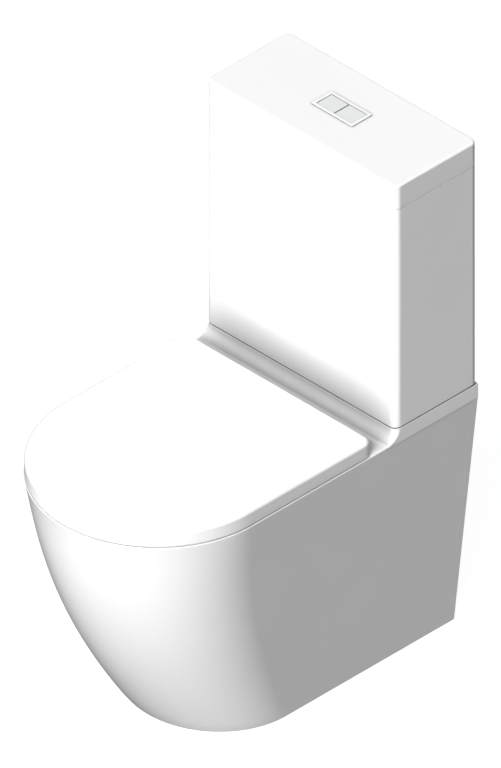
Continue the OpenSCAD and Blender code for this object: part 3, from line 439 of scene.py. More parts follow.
# %% Tools for finishes
class Wire:
    """One output of a node. Arithmetic with it adds Math nodes."""

    def __init__(self, finish, socket):
        self.finish = finish
        self.socket = socket

    def _sum(self, operation, a, b):
        return self.finish.node("ShaderNodeMath", {"operation": operation}, {0: a, 1: b})

    def __add__(self, other):
        return self._sum("ADD", self, other)

    def __radd__(self, other):
        return self._sum("ADD", other, self)

    def __mul__(self, other):
        return self._sum("MULTIPLY", self, other)

    def __rmul__(self, other):
        return self._sum("MULTIPLY", other, self)

    def __pow__(self, other):
        return self._sum("POWER", self, other)

    def __rpow__(self, other):
        return self._sum("POWER", other, self)


LEVEL_NEAR = 0.05
SKY_SAMPLES = 12


class Finish:
    """A material that starts as one shader, with its steady values set straight on its sockets."""

    def __init__(self, name, **steady):
        self.material = bpy.data.materials.new(name)
        self.material.use_nodes = True
        self.tree = self.material.node_tree
        self.shader = self.tree.nodes["Principled BSDF"]
        for socket, value in steady.items():
            self.shader.inputs[socket.replace("_", " ")].default_value = value
        self.place = self.node("ShaderNodeTexCoord", output="Object")
        self.height = self.node("ShaderNodeSeparateXYZ", None, {"Vector": self.place}, 2)

    def node(self, kind, settings=None, inputs=None, output=0):
        made = self.tree.nodes.new(kind)
        for name, value in (settings or {}).items():
            if name == "stops":
                ramp = made.color_ramp
                while len(ramp.elements) < len(value):
                    ramp.elements.new(0.5)
                for element, (position, level) in zip(ramp.elements, value):
                    element.position = position
                    element.color = (level, level, level, 1)
            else:
                setattr(made, name, value)
        for socket, value in (inputs or {}).items():
            if isinstance(value, Wire):
                self.tree.links.new(value.socket, made.inputs[socket])
            else:
                made.inputs[socket].default_value = value
        return Wire(self, made.outputs[output])

    def noise(self, scale, detail=3.0, stretch=(1, 1, 1)):
        """Cloudy noise with so many clouds in a metre, drawn out along an axis by a smaller stretch."""
        where = self.node("ShaderNodeMapping", None, {"Vector": self.place, "Scale": stretch})
        return self.node("ShaderNodeTexNoise", None, {"Vector": where, "Scale": scale, "Detail": detail})

    def ramp(self, value, *stops):
        return self.node("ShaderNodeValToRGB", {"stops": stops}, {0: value})

    def colours(self, mask, first, second):
        """The first colour where the mask is 0 and the second where it is 1."""
        first, second = (c if isinstance(c, Wire) else (*c, 1) for c in (first, second))
        return self.node("ShaderNodeMix", {"data_type": "RGBA"}, {0: mask, 6: first, 7: second}, 2)

    def paint_shade(self, tone, reach, depth, own=False):
        """Paints shade into the tone's colour where other surfaces, or only the piece's own, come within
        reach.
        """
        open_sky = self.node("ShaderNodeAmbientOcclusion", {"samples": SKY_SAMPLES, "only_local": own},
                             {"Distance": reach * MM}, 1)
        return self.colours(open_sky ** depth, (0, 0, 0), tone)

    def rise(self, start, end):
        """0 up to the height start and 1 from the height end on, or the other way round if end is lower."""
        return self.node("ShaderNodeMapRange", None,
                         {"Value": self.height, "From Min": start * MM, "From Max": end * MM})

    def flat_at(self, height):
        """1 on a level face at this height and 0 anywhere else."""
        return self.node("ShaderNodeMath", {"operation": "COMPARE"},
                         {0: self.height, 1: height * MM, 2: LEVEL_NEAR * MM})

    def feed(self, socket, wire):
        self.tree.links.new(wire.socket, self.shader.inputs[socket])
        return self

    def bump(self, height, strength, distance):
        relief = self.node("ShaderNodeBump", None,
                           {"Strength": strength, "Distance": distance, "Height": height})
        return self.feed("Normal", relief)


print("finish tools are ready")

# %% [markdown]
# ## China
# Sanitary china is fired clay under a white glaze. The glaze is not quite flat: it has long soft waves where
# it ran and a faint orange peel, and its white varies a little. It could be painted as one flat white, but
# then no reflection would ever bend. Two noises at different scales in the bump give the glaze its life.
# White on white also swallows every cove and seam, so shade is painted into the glaze's colour. The
# occlusion node knows how closed in a place is, and the base colour is darkened there by a little: far
# around the cove and the tank's foot, and close by in the seams. Each painted shade is a reach in
# millimetres and a strength.
# The bowl, the deck and the rims are closed in just while the lids are down, so there the painted shade
# comes only from the piece's own shape, and they stay pale when a lid is raised.
# Where no glaze was sprayed, inside the skirt and under the foot, the fired clay is matt, creamy and
# speckled.

# %% China
GLAZE_WHITE = (0.90, 0.90, 0.898)
GLAZE_WARM = (0.88, 0.88, 0.874)
BISCUIT_CREAM = (0.74, 0.70, 0.63)
BISCUIT_GREY = (0.58, 0.54, 0.48)
# Painted shade, each a reach in millimetres and a strength: round the cove, from a piece's own shape, in
# seams.
COVE_PAINTED_SHADE = (120, 1.5)
OWN_PAINTED_SHADE = (80, 1.0)
SEAM_PAINTED_SHADE = (6, 2.0)
COVE_FADE = 1
SHADE_TOP_H = PLATFORM_H + 120
SHADE_FADE = 30


def make_glaze():
    glaze = Finish("china_glaze", Roughness=0.2, IOR=1.5, Coat_Roughness=0.06)
    waves = glaze.noise(14, detail=1.0)
    peel = glaze.noise(420, detail=2.0)
    clouds = glaze.noise(6, detail=4.0)
    tone = glaze.colours(glaze.ramp(clouds, (0.35, 0.0), (0.8, 1.0)), GLAZE_WHITE, GLAZE_WARM)
    # Painted shade in the base colour: from the piece's own shape, from all pieces near the cove and the
    # tank's foot, and in the seams everywhere except on the level rim faces.
    cove_shade_zone = glaze.rise(DECK_H, DECK_H + COVE_FADE) * glaze.rise(SHADE_TOP_H, SHADE_TOP_H - SHADE_FADE)
    own = glaze.paint_shade(tone, *OWN_PAINTED_SHADE, own=True)
    shade_painted_tone = glaze.colours(cove_shade_zone, own, glaze.paint_shade(tone, *COVE_PAINTED_SHADE))
    rims = glaze.flat_at(DECK_H) + glaze.flat_at(TANK_TOP_H) + glaze.flat_at(LID_BASE_H)
    glaze.feed("Base Color", glaze.colours(rims, glaze.paint_shade(shade_painted_tone, *SEAM_PAINTED_SHADE), shade_painted_tone))
    glaze.feed("Roughness", 0.17 + peel * 0.06 + clouds * 0.04)
    glaze.feed("Coat Weight", 0.2 + clouds * 0.15)
    return glaze.bump(waves + peel * 0.03, 0.25, 0.0006)


def make_biscuit():
    biscuit = Finish("china_biscuit", Roughness=0.85, IOR=1.45)
    clay = biscuit.noise(60, detail=6.0)
    specks = biscuit.ramp(biscuit.noise(900, detail=1.0), (0.66, 0.0), (0.72, 1.0))
    drips = biscuit.noise(30, detail=3.0, stretch=(1, 1, 0.15))
    tone = biscuit.ramp(clay * 0.6 + drips * 0.4 + specks * 0.35, (0.4, 0.0), (0.95, 1.0))
    biscuit.feed("Base Color", biscuit.colours(tone, BISCUIT_CREAM, BISCUIT_GREY))
    biscuit.feed("Roughness", 0.78 + clay * 0.18)
    return biscuit.bump(clay + specks * 0.3, 0.5, 0.0008)


china = make_glaze()
biscuit = make_biscuit()
print("glazed and bare china are mixed")

# %% [markdown]
# ## Plastics
# The seat is moulded in a dense thermoset that is polished but a touch softer than the glaze. The buttons
# are a paler, cooler grey with a satin face. Inside the cistern the valves are plain mouldings in grey and
# blue with a fine spark-eroded grain. One recipe makes them all: a grain, a slow drift of tone and a sheen.
# Shade is painted into their colour in each piece's own nooks. Beyond that the seat gets painted shade only
# at its lowest edge, in the seam above the pan, and the bezel and the buttons in their gaps.

# %% Plastics
# Painted shade, each a reach in millimetres and a strength: in a piece's own nooks, and in the bezel's and
# buttons' gaps.
NOOK_PAINTED_SHADE = (30, 1.2)
BUTTON_GAP_PAINTED_SHADE = (8, 1.5)
SEAM_LOW = 0.3
SEAM_FADE = 3


def make_plastic(name, colour, drift, roughness, grain, relief, coat=0.0, gap=None, gap_top_h=BEZEL_TOP_H):
    """A plastic with painted shade in its own nooks and, up to a height, in its gaps to other pieces."""
    plastic = Finish(name, IOR=1.5, Coat_Roughness=0.1)
    slow = plastic.noise(9, detail=2.0)
    fine = plastic.noise(grain, detail=2.0)
    deep = tuple(c * (1 - drift) for c in colour)
    tone = plastic.colours(plastic.ramp(slow, (0.3, 0.0), (0.75, 1.0)), colour, deep)
    # Painted shade: the colour darkens in the piece's own nooks and, in a band up to a height, where other
    # pieces come close.
    tone = plastic.paint_shade(tone, *NOOK_PAINTED_SHADE, own=True)
    if gap:
        above_foot = plastic.rise(SEAT_BASE_H, SEAT_BASE_H + SEAM_LOW)
        seam = above_foot * plastic.rise(gap_top_h + SEAM_FADE, gap_top_h)
        tone = plastic.colours(seam, tone, plastic.paint_shade(tone, *gap))
    plastic.feed("Base Color", tone)
    plastic.feed("Roughness", roughness - 0.03 + fine * 0.06 + slow * 0.03)
    if coat:
        plastic.feed("Coat Weight", coat * 0.8 + slow * coat * 0.4)
    return plastic.bump(fine + slow * 2, relief, 0.0003)


seat_finish = make_plastic("seat_thermoset", (0.90, 0.90, 0.898), 0.02, 0.24, 500, 0.12, coat=0.15,
                           gap=SEAM_PAINTED_SHADE, gap_top_h=SEAT_BASE_H + 1)
bezel_finish = make_plastic("bezel_plastic", (0.90, 0.905, 0.905), 0.02, 0.22, 700, 0.1, coat=0.1,
                            gap=BUTTON_GAP_PAINTED_SHADE)
button_finish = make_plastic("button_plastic", (0.735, 0.755, 0.75), 0.02, 0.34, 1100, 0.2, gap=BUTTON_GAP_PAINTED_SHADE)
grey_finish = make_plastic("valve_grey_plastic", (0.60, 0.63, 0.65), 0.07, 0.5, 1600, 0.6)
blue_finish = make_plastic("valve_blue_plastic", (0.07, 0.21, 0.46), 0.12, 0.45, 1600, 0.6)
print("five plastics are mixed")

# %% [markdown]
# ## Metals
# The hinge is chromed: a mirror with the faintest polishing marks. The bolts, pins and springs are plain
# stainless steel, drawn or turned, so their fine lines run one way. Noise drawn out along one axis and
# squeezed along the others makes such lines, in the roughness as well as in the bump.

# %% Metals
def make_metal(name, colour, roughness, lines, stretch, relief):
    metal = Finish(name, Metallic=1.0)
    drawn = metal.noise(lines, detail=3.0, stretch=stretch)
    spots = metal.noise(80, detail=4.0)
    dull = tuple(c * 0.86 for c in colour)
    metal.feed("Base Color", metal.colours(metal.ramp(spots, (0.5, 0.0), (0.85, 1.0)), colour, dull))
    metal.feed("Roughness", roughness + drawn * roughness * 0.5 + spots * 0.05)
    return metal.bump(drawn, relief, 0.0001)


chrome_finish = make_metal("hinge_chrome", (0.80, 0.81, 0.82), 0.06, 900, (0.2, 1, 1), 0.1)
steel_finish = make_metal("stainless_steel", (0.62, 0.61, 0.60), 0.24, 2200, (1, 1, 0.06), 0.5)
print("chrome and steel are mixed")

# %% [markdown]
# ## Rubbers
# Gaskets and washers are black rubber with a dusty bloom. The seat's buffers are a soft white elastomer and
# the flush seal is red silicone. All are matt and slightly uneven, as rubber is when it comes off the mould.

# %% Rubbers
def make_rubber(name, colour, bloom, roughness, sheen):
    rubber = Finish(name, Sheen_Weight=sheen, Sheen_Roughness=0.6, IOR=1.5)
    dust = rubber.noise(120, detail=5.0)
    skin = rubber.noise(1500, detail=2.0)
    rubber.feed("Base Color", rubber.colours(rubber.ramp(dust, (0.42, 0.0), (0.85, 1.0)), colour, bloom))
    rubber.feed("Roughness", roughness + skin * 0.1)
    return rubber.bump(skin + dust, 0.4, 0.0003)


rubber_finish = make_rubber("black_rubber", (0.022, 0.022, 0.024), (0.07, 0.07, 0.072), 0.62, 0.2)
buffer_finish = make_rubber("buffer_elastomer", (0.78, 0.78, 0.76), (0.72, 0.72, 0.69), 0.5, 0.1)
seal_finish = make_rubber("seal_silicone", (0.47, 0.055, 0.035), (0.52, 0.10, 0.07), 0.42, 0.1)
print("three rubbers are mixed")

# %% [markdown]
# ## Dressing the parts that stay
# The valves, seals and fixings already have their real shape in the frame, so they only need their finish.
# The record names a material slot for every part. One table from slot to finish dresses them all at once,
# and the larger pieces modelled below then take the place of their plain solids.

# %% Dressing the parts that stay
FINISHES = {
    "china": china, "seat_plastic": seat_finish, "button_plastic": button_finish,
    "bezel_plastic": bezel_finish, "hinge_chrome": chrome_finish, "steel": steel_finish,
    "black_rubber": rubber_finish, "clear_buffer": buffer_finish, "seal_rubber": seal_finish,
    "blue_plastic": blue_finish, "grey_plastic": grey_finish,
}
slots = {part["node"]: part["material_slot"] for part in frame["record"]["subparts"]}
for name, node in frame["nodes"].items():
    for material_slot in node.material_slots:
        material_slot.material = FINISHES[slots[name]].material
print("dressed", len(frame["nodes"]), "parts in", len(set(slots.values())), "finishes")


def finish_piece(piece, body, *nodes, angle=SMOOTH_ANGLE):
    """Smooths and dresses a piece, hangs it on its body and hides the plain solids that it stands for."""
    smooth(piece, angle)
    slot = slots[nodes[0]]
    if not piece.data.materials:
        piece.data.materials.append(FINISHES[slot].material)
    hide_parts(*nodes)
    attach(piece, body)
    low, high = (Vector(corner) for corner in (piece.bound_box[0], piece.bound_box[6]))
    size = [round(length / MM, 1) for length in high - low]
    print(piece.name, "rides on", body, "- size in mm", size, "- faces", len(piece.data.polygons))
    return piece

# %% [markdown]
# ## Outlines like a D
# From above the pan and the seat are both a D: a straight back, straight sides and half an ellipse in front.
# A circle loses its back half, is stretched to size, and its two ends are extruded straight back and joined.
# To go up the pan, that outline is extruded again and again, and each new copy is fitted to its own level.
# A cylinder could not do this, because the foot is narrower, shorter and blunter than the rim.

# %% Outlines like a D
Level = namedtuple("Level", "half reach start z")
ARC_STEPS = 96


def d_outline(name, level, back):
    """Leaves the mesh in edit mode with the closed outline selected."""
    clear()
    bpy.ops.mesh.primitive_circle_add(vertices=2 * ARC_STEPS, radius=1)
    piece = settle(name)
    edit(piece)
    pick("VERT", lambda v: v.co.y > NEAR)
    bpy.ops.mesh.delete(type="VERT")
    pick_all()
    bpy.ops.transform.resize(value=(level.half * MM, (level.reach - level.start) * MM, 1),
                             center_override=(0, 0, 0))
    bpy.ops.transform.translate(value=at(0, level.start, level.z))
    pick("VERT", lambda v: same(abs(v.co.x), level.half * MM))
    bpy.ops.mesh.extrude_vertices_move(TRANSFORM_OT_translate={"value": (0, (level.start - back) * MM, 0)})
    bpy.ops.mesh.edge_face_add()
    pick("EDGE", at_height(level.z))
    return piece


def fit_d(now, then, back):
    """Fits the outline just extruded to the next level."""
    bpy.ops.transform.resize(value=(then.half / now.half, 1, 1), center_override=(0, 0, 0))
    pick("VERT", lambda v: same(v.co.z, then.z * MM) and v.co.y < from_wall(back) - NEAR)
    stretch = (then.reach - then.start) / (now.reach - now.start)
    bpy.ops.transform.resize(value=(1, stretch, 1), center_override=at(0, now.start, then.z))
    bpy.ops.transform.translate(value=(0, (now.start - then.start) * MM, 0))
    pick("EDGE", at_height(then.z))


def stack(levels, fit):
    """Extrudes the selected outline up the levels, fits it to each and closes both ends."""
    for now, then in zip(levels, levels[1:]):
        extrude_to((0, 0, (then.z - now.z) * MM))
        fit(now, then)
    for level in (levels[0], levels[-1]):
        pick("EDGE", at_height(level.z))
        bpy.ops.mesh.edge_face_add()


def d_stack(name, levels, back):
    """A closed solid through a stack of D outlines."""
    piece = d_outline(name, levels[0], back)
    stack(levels, lambda now, then: fit_d(now, then, back))
    face_outwards()
    return piece


print("a D has", 2 * ARC_STEPS, "steps to a full turn and two straight sides")

# %% [markdown]
# ## The skirt
# The pan's front swells from a short foot to the wide rim along one S-shaped profile. Its width grows
# evenly, so the sides are flat and lean outwards. The profile is one cubic curve with two pull points, as a
# ship's stem would be drawn. Forty levels of it are fine enough for the glaze to flow over without a facet.

# %% The skirt
FOOT_HALF = 283 / 2
FOOT_REACH = 471
FOOT_CURVE_START = 335
FOOT_EDGE = 1.2
BELLY_REACH = (618, 622)
BELLY_H = (215, 333)
RIM_EDGE = 2
RIM_H = DECK_H - RIM_EDGE
RIM_HALF = BODY_HALF - 0.5
RIM_CURVE_START = PROJECTION - RIM_HALF
START_EASE = 1.7
PROFILE_STEPS = 40
EDGE_STEPS = 4


def pan_level(t, inset=0.0):
    """The pan's plan at a share t of the way up its profile."""
    z = curve4((0, *BELLY_H, RIM_H), t)
    up = z / RIM_H
    half = FOOT_HALF + (RIM_HALF - FOOT_HALF) * up
    start = RIM_CURVE_START + (FOOT_CURVE_START - RIM_CURVE_START) * max(0.0, 1 - up) ** START_EASE
    return Level(half - inset, curve4((FOOT_REACH, *BELLY_REACH, PROJECTION), t) - inset, start, z)


def rim_level(turn):
    """The rim's rounded edge at a share of its quarter turn."""
    inset = RIM_EDGE * (1 - math.cos(turn * math.pi / 2))
    rise = RIM_EDGE * math.sin(turn * math.pi / 2)
    return Level(RIM_HALF - inset, PROJECTION - inset, RIM_CURVE_START, RIM_H + rise)


foot = pan_level(0)
skirt_levels = [pan_level(0, FOOT_EDGE), foot._replace(z=FOOT_EDGE)]
skirt_levels += [pan_level(i / PROFILE_STEPS) for i in range(1, PROFILE_STEPS + 1)]
skirt_levels += [rim_level(i / EDGE_STEPS) for i in range(1, EDGE_STEPS + 1)]
pan = d_stack("pan_china", skirt_levels, 0)
pan.data.materials.append(china.material)
pan.data.materials.append(biscuit.material)
print("skirt levels", len(skirt_levels), "faces", len(pan.data.polygons))

# %% [markdown]
# ## The platform and its cove
# The cistern stands on a step behind the deck. In the clay the step is not a box: its front sweeps down into
# the deck with a hollow curve, the cove, and its corners open from nearly sharp at the deck to as round as
# the cistern's. A plane with two rounded corners is extruded up level by level, and at each level the
# corners are scaled about the point where they would be sharp, which keeps their sides straight.

# %% The platform and its cove
CORNER_R = 12
COVE_R = 18
COVE_STEPS = 14
PLATFORM_LAP = 4
PLATFORM_EDGE = 0.8
Step = namedtuple("Step", "reach corner z")


def fit_platform(now, then):
    for side in (-1, 1):
        pick("VERT", lambda v: same(v.co.z, then.z * MM) and v.co.x * side > 0
             and v.co.y < from_wall(CISTERN_MID))
        grow = then.corner / now.corner
        bpy.ops.transform.resize(value=(grow, grow, 1),
                                 center_override=at(side * BODY_HALF, now.reach, then.z))
        bpy.ops.transform.translate(value=(0, (now.reach - then.reach) * MM, 0))
    pick("EDGE", at_height(then.z))


def cove_step(turn):
    """The platform's plan at a share of the cove's quarter turn."""
    angle = turn * math.pi / 2
    return Step(CISTERN_D + COVE_R * (1 - math.sin(angle)), RIM_EDGE + (CORNER_R - RIM_EDGE) * turn,
                DECK_H + COVE_R * (1 - math.cos(angle)))


cove = [cove_step(i / COVE_STEPS) for i in range(COVE_STEPS + 1)]
steps = [cove[0]._replace(z=DECK_H - PLATFORM_LAP)] + cove + [cove[-1]._replace(z=PLATFORM_H)]
clear()
bpy.ops.mesh.primitive_plane_add(size=1, location=at(0, steps[0].reach / 2, steps[0].z))
bpy.context.object.scale = (2 * BODY_HALF * MM, steps[0].reach * MM, 1)
platform = settle("platform")
edit(platform)
bpy.ops.mesh.delete(type="ONLY_FACE")
pick("VERT", lambda v: v.co.y < from_wall(CISTERN_D))
bpy.ops.mesh.bevel(offset=RIM_EDGE * MM, segments=10, affect="VERTICES")
pick("EDGE", at_height(steps[0].z))
stack(steps, fit_platform)
round_edges(platform, lambda e: at_height(steps[0].z)(e) or at_height(PLATFORM_H)(e), PLATFORM_EDGE, 3)
edit(platform)
face_outwards()
join(pan, platform)
print("cove steps", len(cove), "faces", len(pan.data.polygons))

# %% [markdown]
# ## The hollow behind
# The skirt is a shell about as thick as a finger, open to the floor and to the wall, because thick clay
# would crack in the kiln and the soil pipe has to reach the outlet. The same D outlines, set in by the
# thickness of the wall, make the tool that hollows it. The tool wears the bare clay, so the cut leaves it
# inside.

# %% The hollow behind
SKIRT_T = 12
DECK_T = 14
PLATFORM_T = 14.5
CAVITY_CORNER = 6
CAVITY_LAP = 10
CAVITY_TOP_H = DECK_H - DECK_T
CEILING_H = PLATFORM_H - PLATFORM_T


def unglazed(tool):
    """The faces that this tool cuts are bare clay."""
    tool.data.materials.append(china.material)
    tool.data.materials.append(biscuit.material)
    for face in tool.data.polygons:
        face.material_index = 1
    return tool


inner_levels = [pan_level(0, SKIRT_T)._replace(z=-PAST)]
inner_levels += [pan_level(i / PROFILE_STEPS, SKIRT_T) for i in range(1, PROFILE_STEPS + 1)]
hollow = d_stack("hollow", inner_levels, -PAST)
edit(hollow)
pick_all()
bpy.ops.mesh.bisect(plane_co=(0, 0, CAVITY_TOP_H * MM), plane_no=(0, 0, 1), use_fill=True, clear_outer=True)
leave_edit()
under_platform = rounded_block("under_platform",
                               at(SKIRT_T - BODY_HALF, CISTERN_D - SKIRT_T, CAVITY_TOP_H - CAVITY_LAP),
                               at(BODY_HALF - SKIRT_T, -PAST, CEILING_H), CAVITY_CORNER, 5)
cut(pan, unglazed(hollow), unglazed(under_platform))
print("hollowed, faces", len(pan.data.polygons))

# %% [markdown]
# ## The bowl
# The bowl is an oval funnel that leans back: wide and nearly upright under the rim, then running steeply to
# the sump. Each of its measures runs on a curve from the mouth by two pull points to the sump. One stack of
# ovals makes the water's side. The same stack, grown by the wall, makes the back of the bowl that shows
# inside the skirt. The lip is rolled over a few millimetres so that water can't cling.

# %% The bowl
BOWL_HALF = (132, 136, 62, 34)
BOWL_FRONT = (598, 600, 470, 415)
BOWL_BACK = (288, 286, 300, 345)
BOWL_H = (DECK_H, DECK_H - 112, 170, 128)
BOWL_T = 10
BOWL_RIM_T = 2
BOWL_FOOT_R = 12
BOWL_STEPS = 28
LIP_R = 5
LIP_STEPS = 5
Oval = namedtuple("Oval", "half front back z")


def bowl_oval(s, grow=0.0, drop=0.0):
    """The bowl's plan at a share s of the way down."""
    half, front, back, z = (curve4(row, s) for row in (BOWL_HALF, BOWL_FRONT, BOWL_BACK, BOWL_H))
    return Oval(half + grow, front + grow, back - grow, z - drop)


def fit_oval(now, then):
    stretch = (then.front - then.back) / (now.front - now.back)
    bpy.ops.transform.resize(value=(then.half / now.half, stretch, 1),
                             center_override=at(0, (now.front + now.back) / 2, then.z))
    bpy.ops.transform.translate(value=(0, (now.front + now.back - then.front - then.back) / 2 * MM, 0))


def oval_stack(name, ovals):
    """A closed solid through a stack of ovals from the lowest up."""
    low = ovals[0]
    clear()
    bpy.ops.mesh.primitive_circle_add(vertices=ARC_STEPS, radius=1,
                                      location=at(0, (low.front + low.back) / 2, low.z))
    bpy.context.object.scale = (low.half * MM, (low.front - low.back) / 2 * MM, 1)
    piece = settle(name)
    edit(piece)
    pick_all()
    stack(ovals, fit_oval)
    face_outwards()
    return piece


def lip_oval(turn):
    """The mouth's rolled lip at a share of its quarter turn."""
    angle = turn * math.pi / 2
    return bowl_oval(0, LIP_R * (1 - math.cos(angle)), LIP_R * (1 - math.sin(angle)))


def round_below(ovals):
    """Leaves out the ovals lower than the rounding and runs the last one down in a quarter turn."""
    low = ovals[0].z
    kept = [oval for oval in ovals if oval.z > low + BOWL_FOOT_R]
    side = kept[0]
    turned = []
    for i in range(LIP_STEPS + 1):
        angle = i / LIP_STEPS * math.pi / 2
        inwards = BOWL_FOOT_R * (1 - math.sin(angle))
        turned.append(Oval(side.half - inwards, side.front - inwards, side.back + inwards,
                           low + BOWL_FOOT_R * (1 - math.cos(angle))))
    return turned + kept


shares = [i / BOWL_STEPS for i in range(BOWL_STEPS, -1, -1)]
backs = round_below([bowl_oval(s, BOWL_T, BOWL_RIM_T + (BOWL_T - BOWL_RIM_T) * s) for s in shares])
water = round_below([bowl_oval(s) for s in shares if bowl_oval(s).z < DECK_H - LIP_R - PAST])
water += [lip_oval(i / LIP_STEPS) for i in range(LIP_STEPS + 1)]
water += [lip_oval(1)._replace(z=DECK_H + WELL_PAST)]
join(pan, unglazed(oval_stack("bowl_back", backs)))
print("bowl levels", len(water), "faces", len(pan.data.polygons))

# %% [markdown]
# ## The waterways
# Behind the bowl the trap dips, climbs over its crown and falls to the outlet, and the flushway comes down
# from the cistern and turns forward under the rim. Both are hollow clay tubes. A circle is extruded along
# each straight leg and spun round each bend, which keeps its section round where a drawn curve could kink.
# The outer tubes are joined on first and the bores are cut last, so that each bore runs clear to its end.

# %% The waterways
TRAP_R = 26
TRAP_T = 9
OUTLET_H = 186
TRAP_CORNERS = ((376, 154, 0), (300, 154, 40), (242, 300, 37), (186, OUTLET_H, 38), (120, OUTLET_H, 0))
SPIGOT_R = 51
SPIGOT_BORE_R = 41
SPIGOT_L = 110
SPIGOT_LAP = 20
SPIGOT_GAP = 14
FLUSHWAY_R = 24
FLUSHWAY_T = 9
FLUSHWAY_LAP = 5
FLUSHWAY_BREAK = 8
FLUSH_BEND = 34
UNDER_DECK = 3
FLUSH_TURN_H = DECK_H - UNDER_DECK - FLUSHWAY_R - FLUSHWAY_T
RECESS_R = 46
RECESS_DEPTH = 32
RECESS_H = PLATFORM_H - RECESS_DEPTH


def bent_tube(name, corners, radius):
    """A round bar of straight legs and true bends. A corner is (back, height, radius of its bend)."""
    points = [at(0, back, z) for back, z, bend in corners]
    clear()
    bpy.ops.mesh.primitive_circle_add(vertices=64, radius=radius * MM, location=points[0])
    bpy.context.object.rotation_euler = (points[1] - points[0]).to_track_quat("Z", "X").to_euler()
    piece = settle(name)
    edit(piece)
    pick_all()
    here = points[0]
    for i in range(1, len(points)):
        leg = (points[i] - here).normalized()
        run = (points[i] - here).length
        if i == len(points) - 1:
            extrude_to(leg * run)
            break
        after = (points[i + 1] - points[i]).normalized()
        bend = corners[i][2] * MM
        turn = leg.angle(after)
        run -= bend * math.tan(turn / 2)
        extrude_to(leg * run)
        here = here + leg * run
        inwards = (after - leg * math.cos(turn)).normalized()
        bpy.ops.mesh.spin(steps=12, angle=-turn, center=here + inwards * bend, axis=leg.cross(after))
        here = points[i] + after * bend * math.tan(turn / 2)
    pick_all()
    bpy.ops.mesh.fill_holes(sides=0)
    face_outwards()
    return piece


def flush_corners(reach):
    """Down from the recess and forward to the bowl."""
    return ((CISTERN_MID, PLATFORM_H - LAP, 0), (CISTERN_MID, FLUSH_TURN_H, FLUSH_BEND),
            (reach, FLUSH_TURN_H, 0))


join(pan,
     unglazed(bent_tube("trap_wall", TRAP_CORNERS, TRAP_R + TRAP_T)),
     rod("spigot", at(0, SPIGOT_GAP + SPIGOT_L + SPIGOT_LAP, OUTLET_H), at(0, SPIGOT_GAP, OUTLET_H),
         SPIGOT_R, 96),
     unglazed(bent_tube("flushway_wall", flush_corners(BOWL_BACK[0] - FLUSHWAY_LAP),
                        FLUSHWAY_R + FLUSHWAY_T)),
     unglazed(post("recess_wall", 0, CISTERN_MID, RECESS_H - FLUSHWAY_T, PLATFORM_H - LAP,
                   RECESS_R + FLUSHWAY_T, 96)))
cut(pan,
    oval_stack("bowl_water", water),
    bent_tube("trap_bore", TRAP_CORNERS, TRAP_R),
    rod("spigot_bore", at(0, SPIGOT_GAP + SPIGOT_L, OUTLET_H), at(0, -PAST, OUTLET_H), SPIGOT_BORE_R, 96),
    bent_tube("flushway_bore", flush_corners(BOWL_BACK[0] + FLUSHWAY_BREAK), FLUSHWAY_R),
    post("recess", 0, CISTERN_MID, RECESS_H, PLATFORM_H + PAST, RECESS_R, 96))
print("waterways joined and bored, faces", len(pan.data.polygons))

# %% [markdown]
# ## Holes for the fixings
# Two bolts and the inlet's nut go through the platform, and two bolts hold the seat to the deck. Each hole
# is drilled right through with a plain round tool, at the places where the frame's own bolts stand.

# %% Holes for the fixings
COUPLING_HEAD_R = 7.5
COUPLING_HOLE_R = 6
COUPLING_X = low_high("coupling_bolts", "x")[1] - COUPLING_HEAD_R
BUSH_R = 6.9
FIXING_HOLE_R = 7
FIXING_X = low_high("seat_bushes", "x")[1] - BUSH_R
INLET_NUT_HOLE_R = 20.5
FILL_X = middle("fill_valve_cap", "x")


def drill(x, back, radius, low, high):
    """A tool for a hole that goes right through what lies between two heights."""
    return post("drill", x, back, low - WELL_PAST, high + WELL_PAST, radius)


for side in (-1, 1):
    cut(pan, drill(side * COUPLING_X, CISTERN_MID, COUPLING_HOLE_R, CEILING_H, PLATFORM_H))
    cut(pan, drill(side * FIXING_X, AXIS_BACK, FIXING_HOLE_R, CAVITY_TOP_H, DECK_H))
cut(pan, drill(FILL_X, CISTERN_MID, INLET_NUT_HOLE_R, CEILING_H, PLATFORM_H))
finish_piece(pan, "root", "pan")

# %% [markdown]
# ## The tank
# The tank is a slip-cast box with walls of 9 mm. Its upright corners match the platform's, its foot is eased
# where it was sponged, and its top edge is ground flat so that the lid lies close. A box with bevelled edges
# is hollowed by a smaller one, and the floor is drilled for the flush valve, the bolts and the inlet.

# %% The tank
TANK_T = 9
TANK_FLOOR_H = TANK_BASE_H + 12
TANK_OVERRUN = 20
INNER_CORNER = 8
INNER_FLOOR_ROUND = 6.4
TANK_FOOT_EDGE = 1.2
TANK_TOP_EDGE = 0.8
VALVE_HOLE_R = 30.8
BOLT_HOLE_R = 5
INLET_HOLE_R = 11.5
SCREW_X = 110
SCREW_H = TANK_BASE_H + 335
SCREW_HOLE_R = 3.5

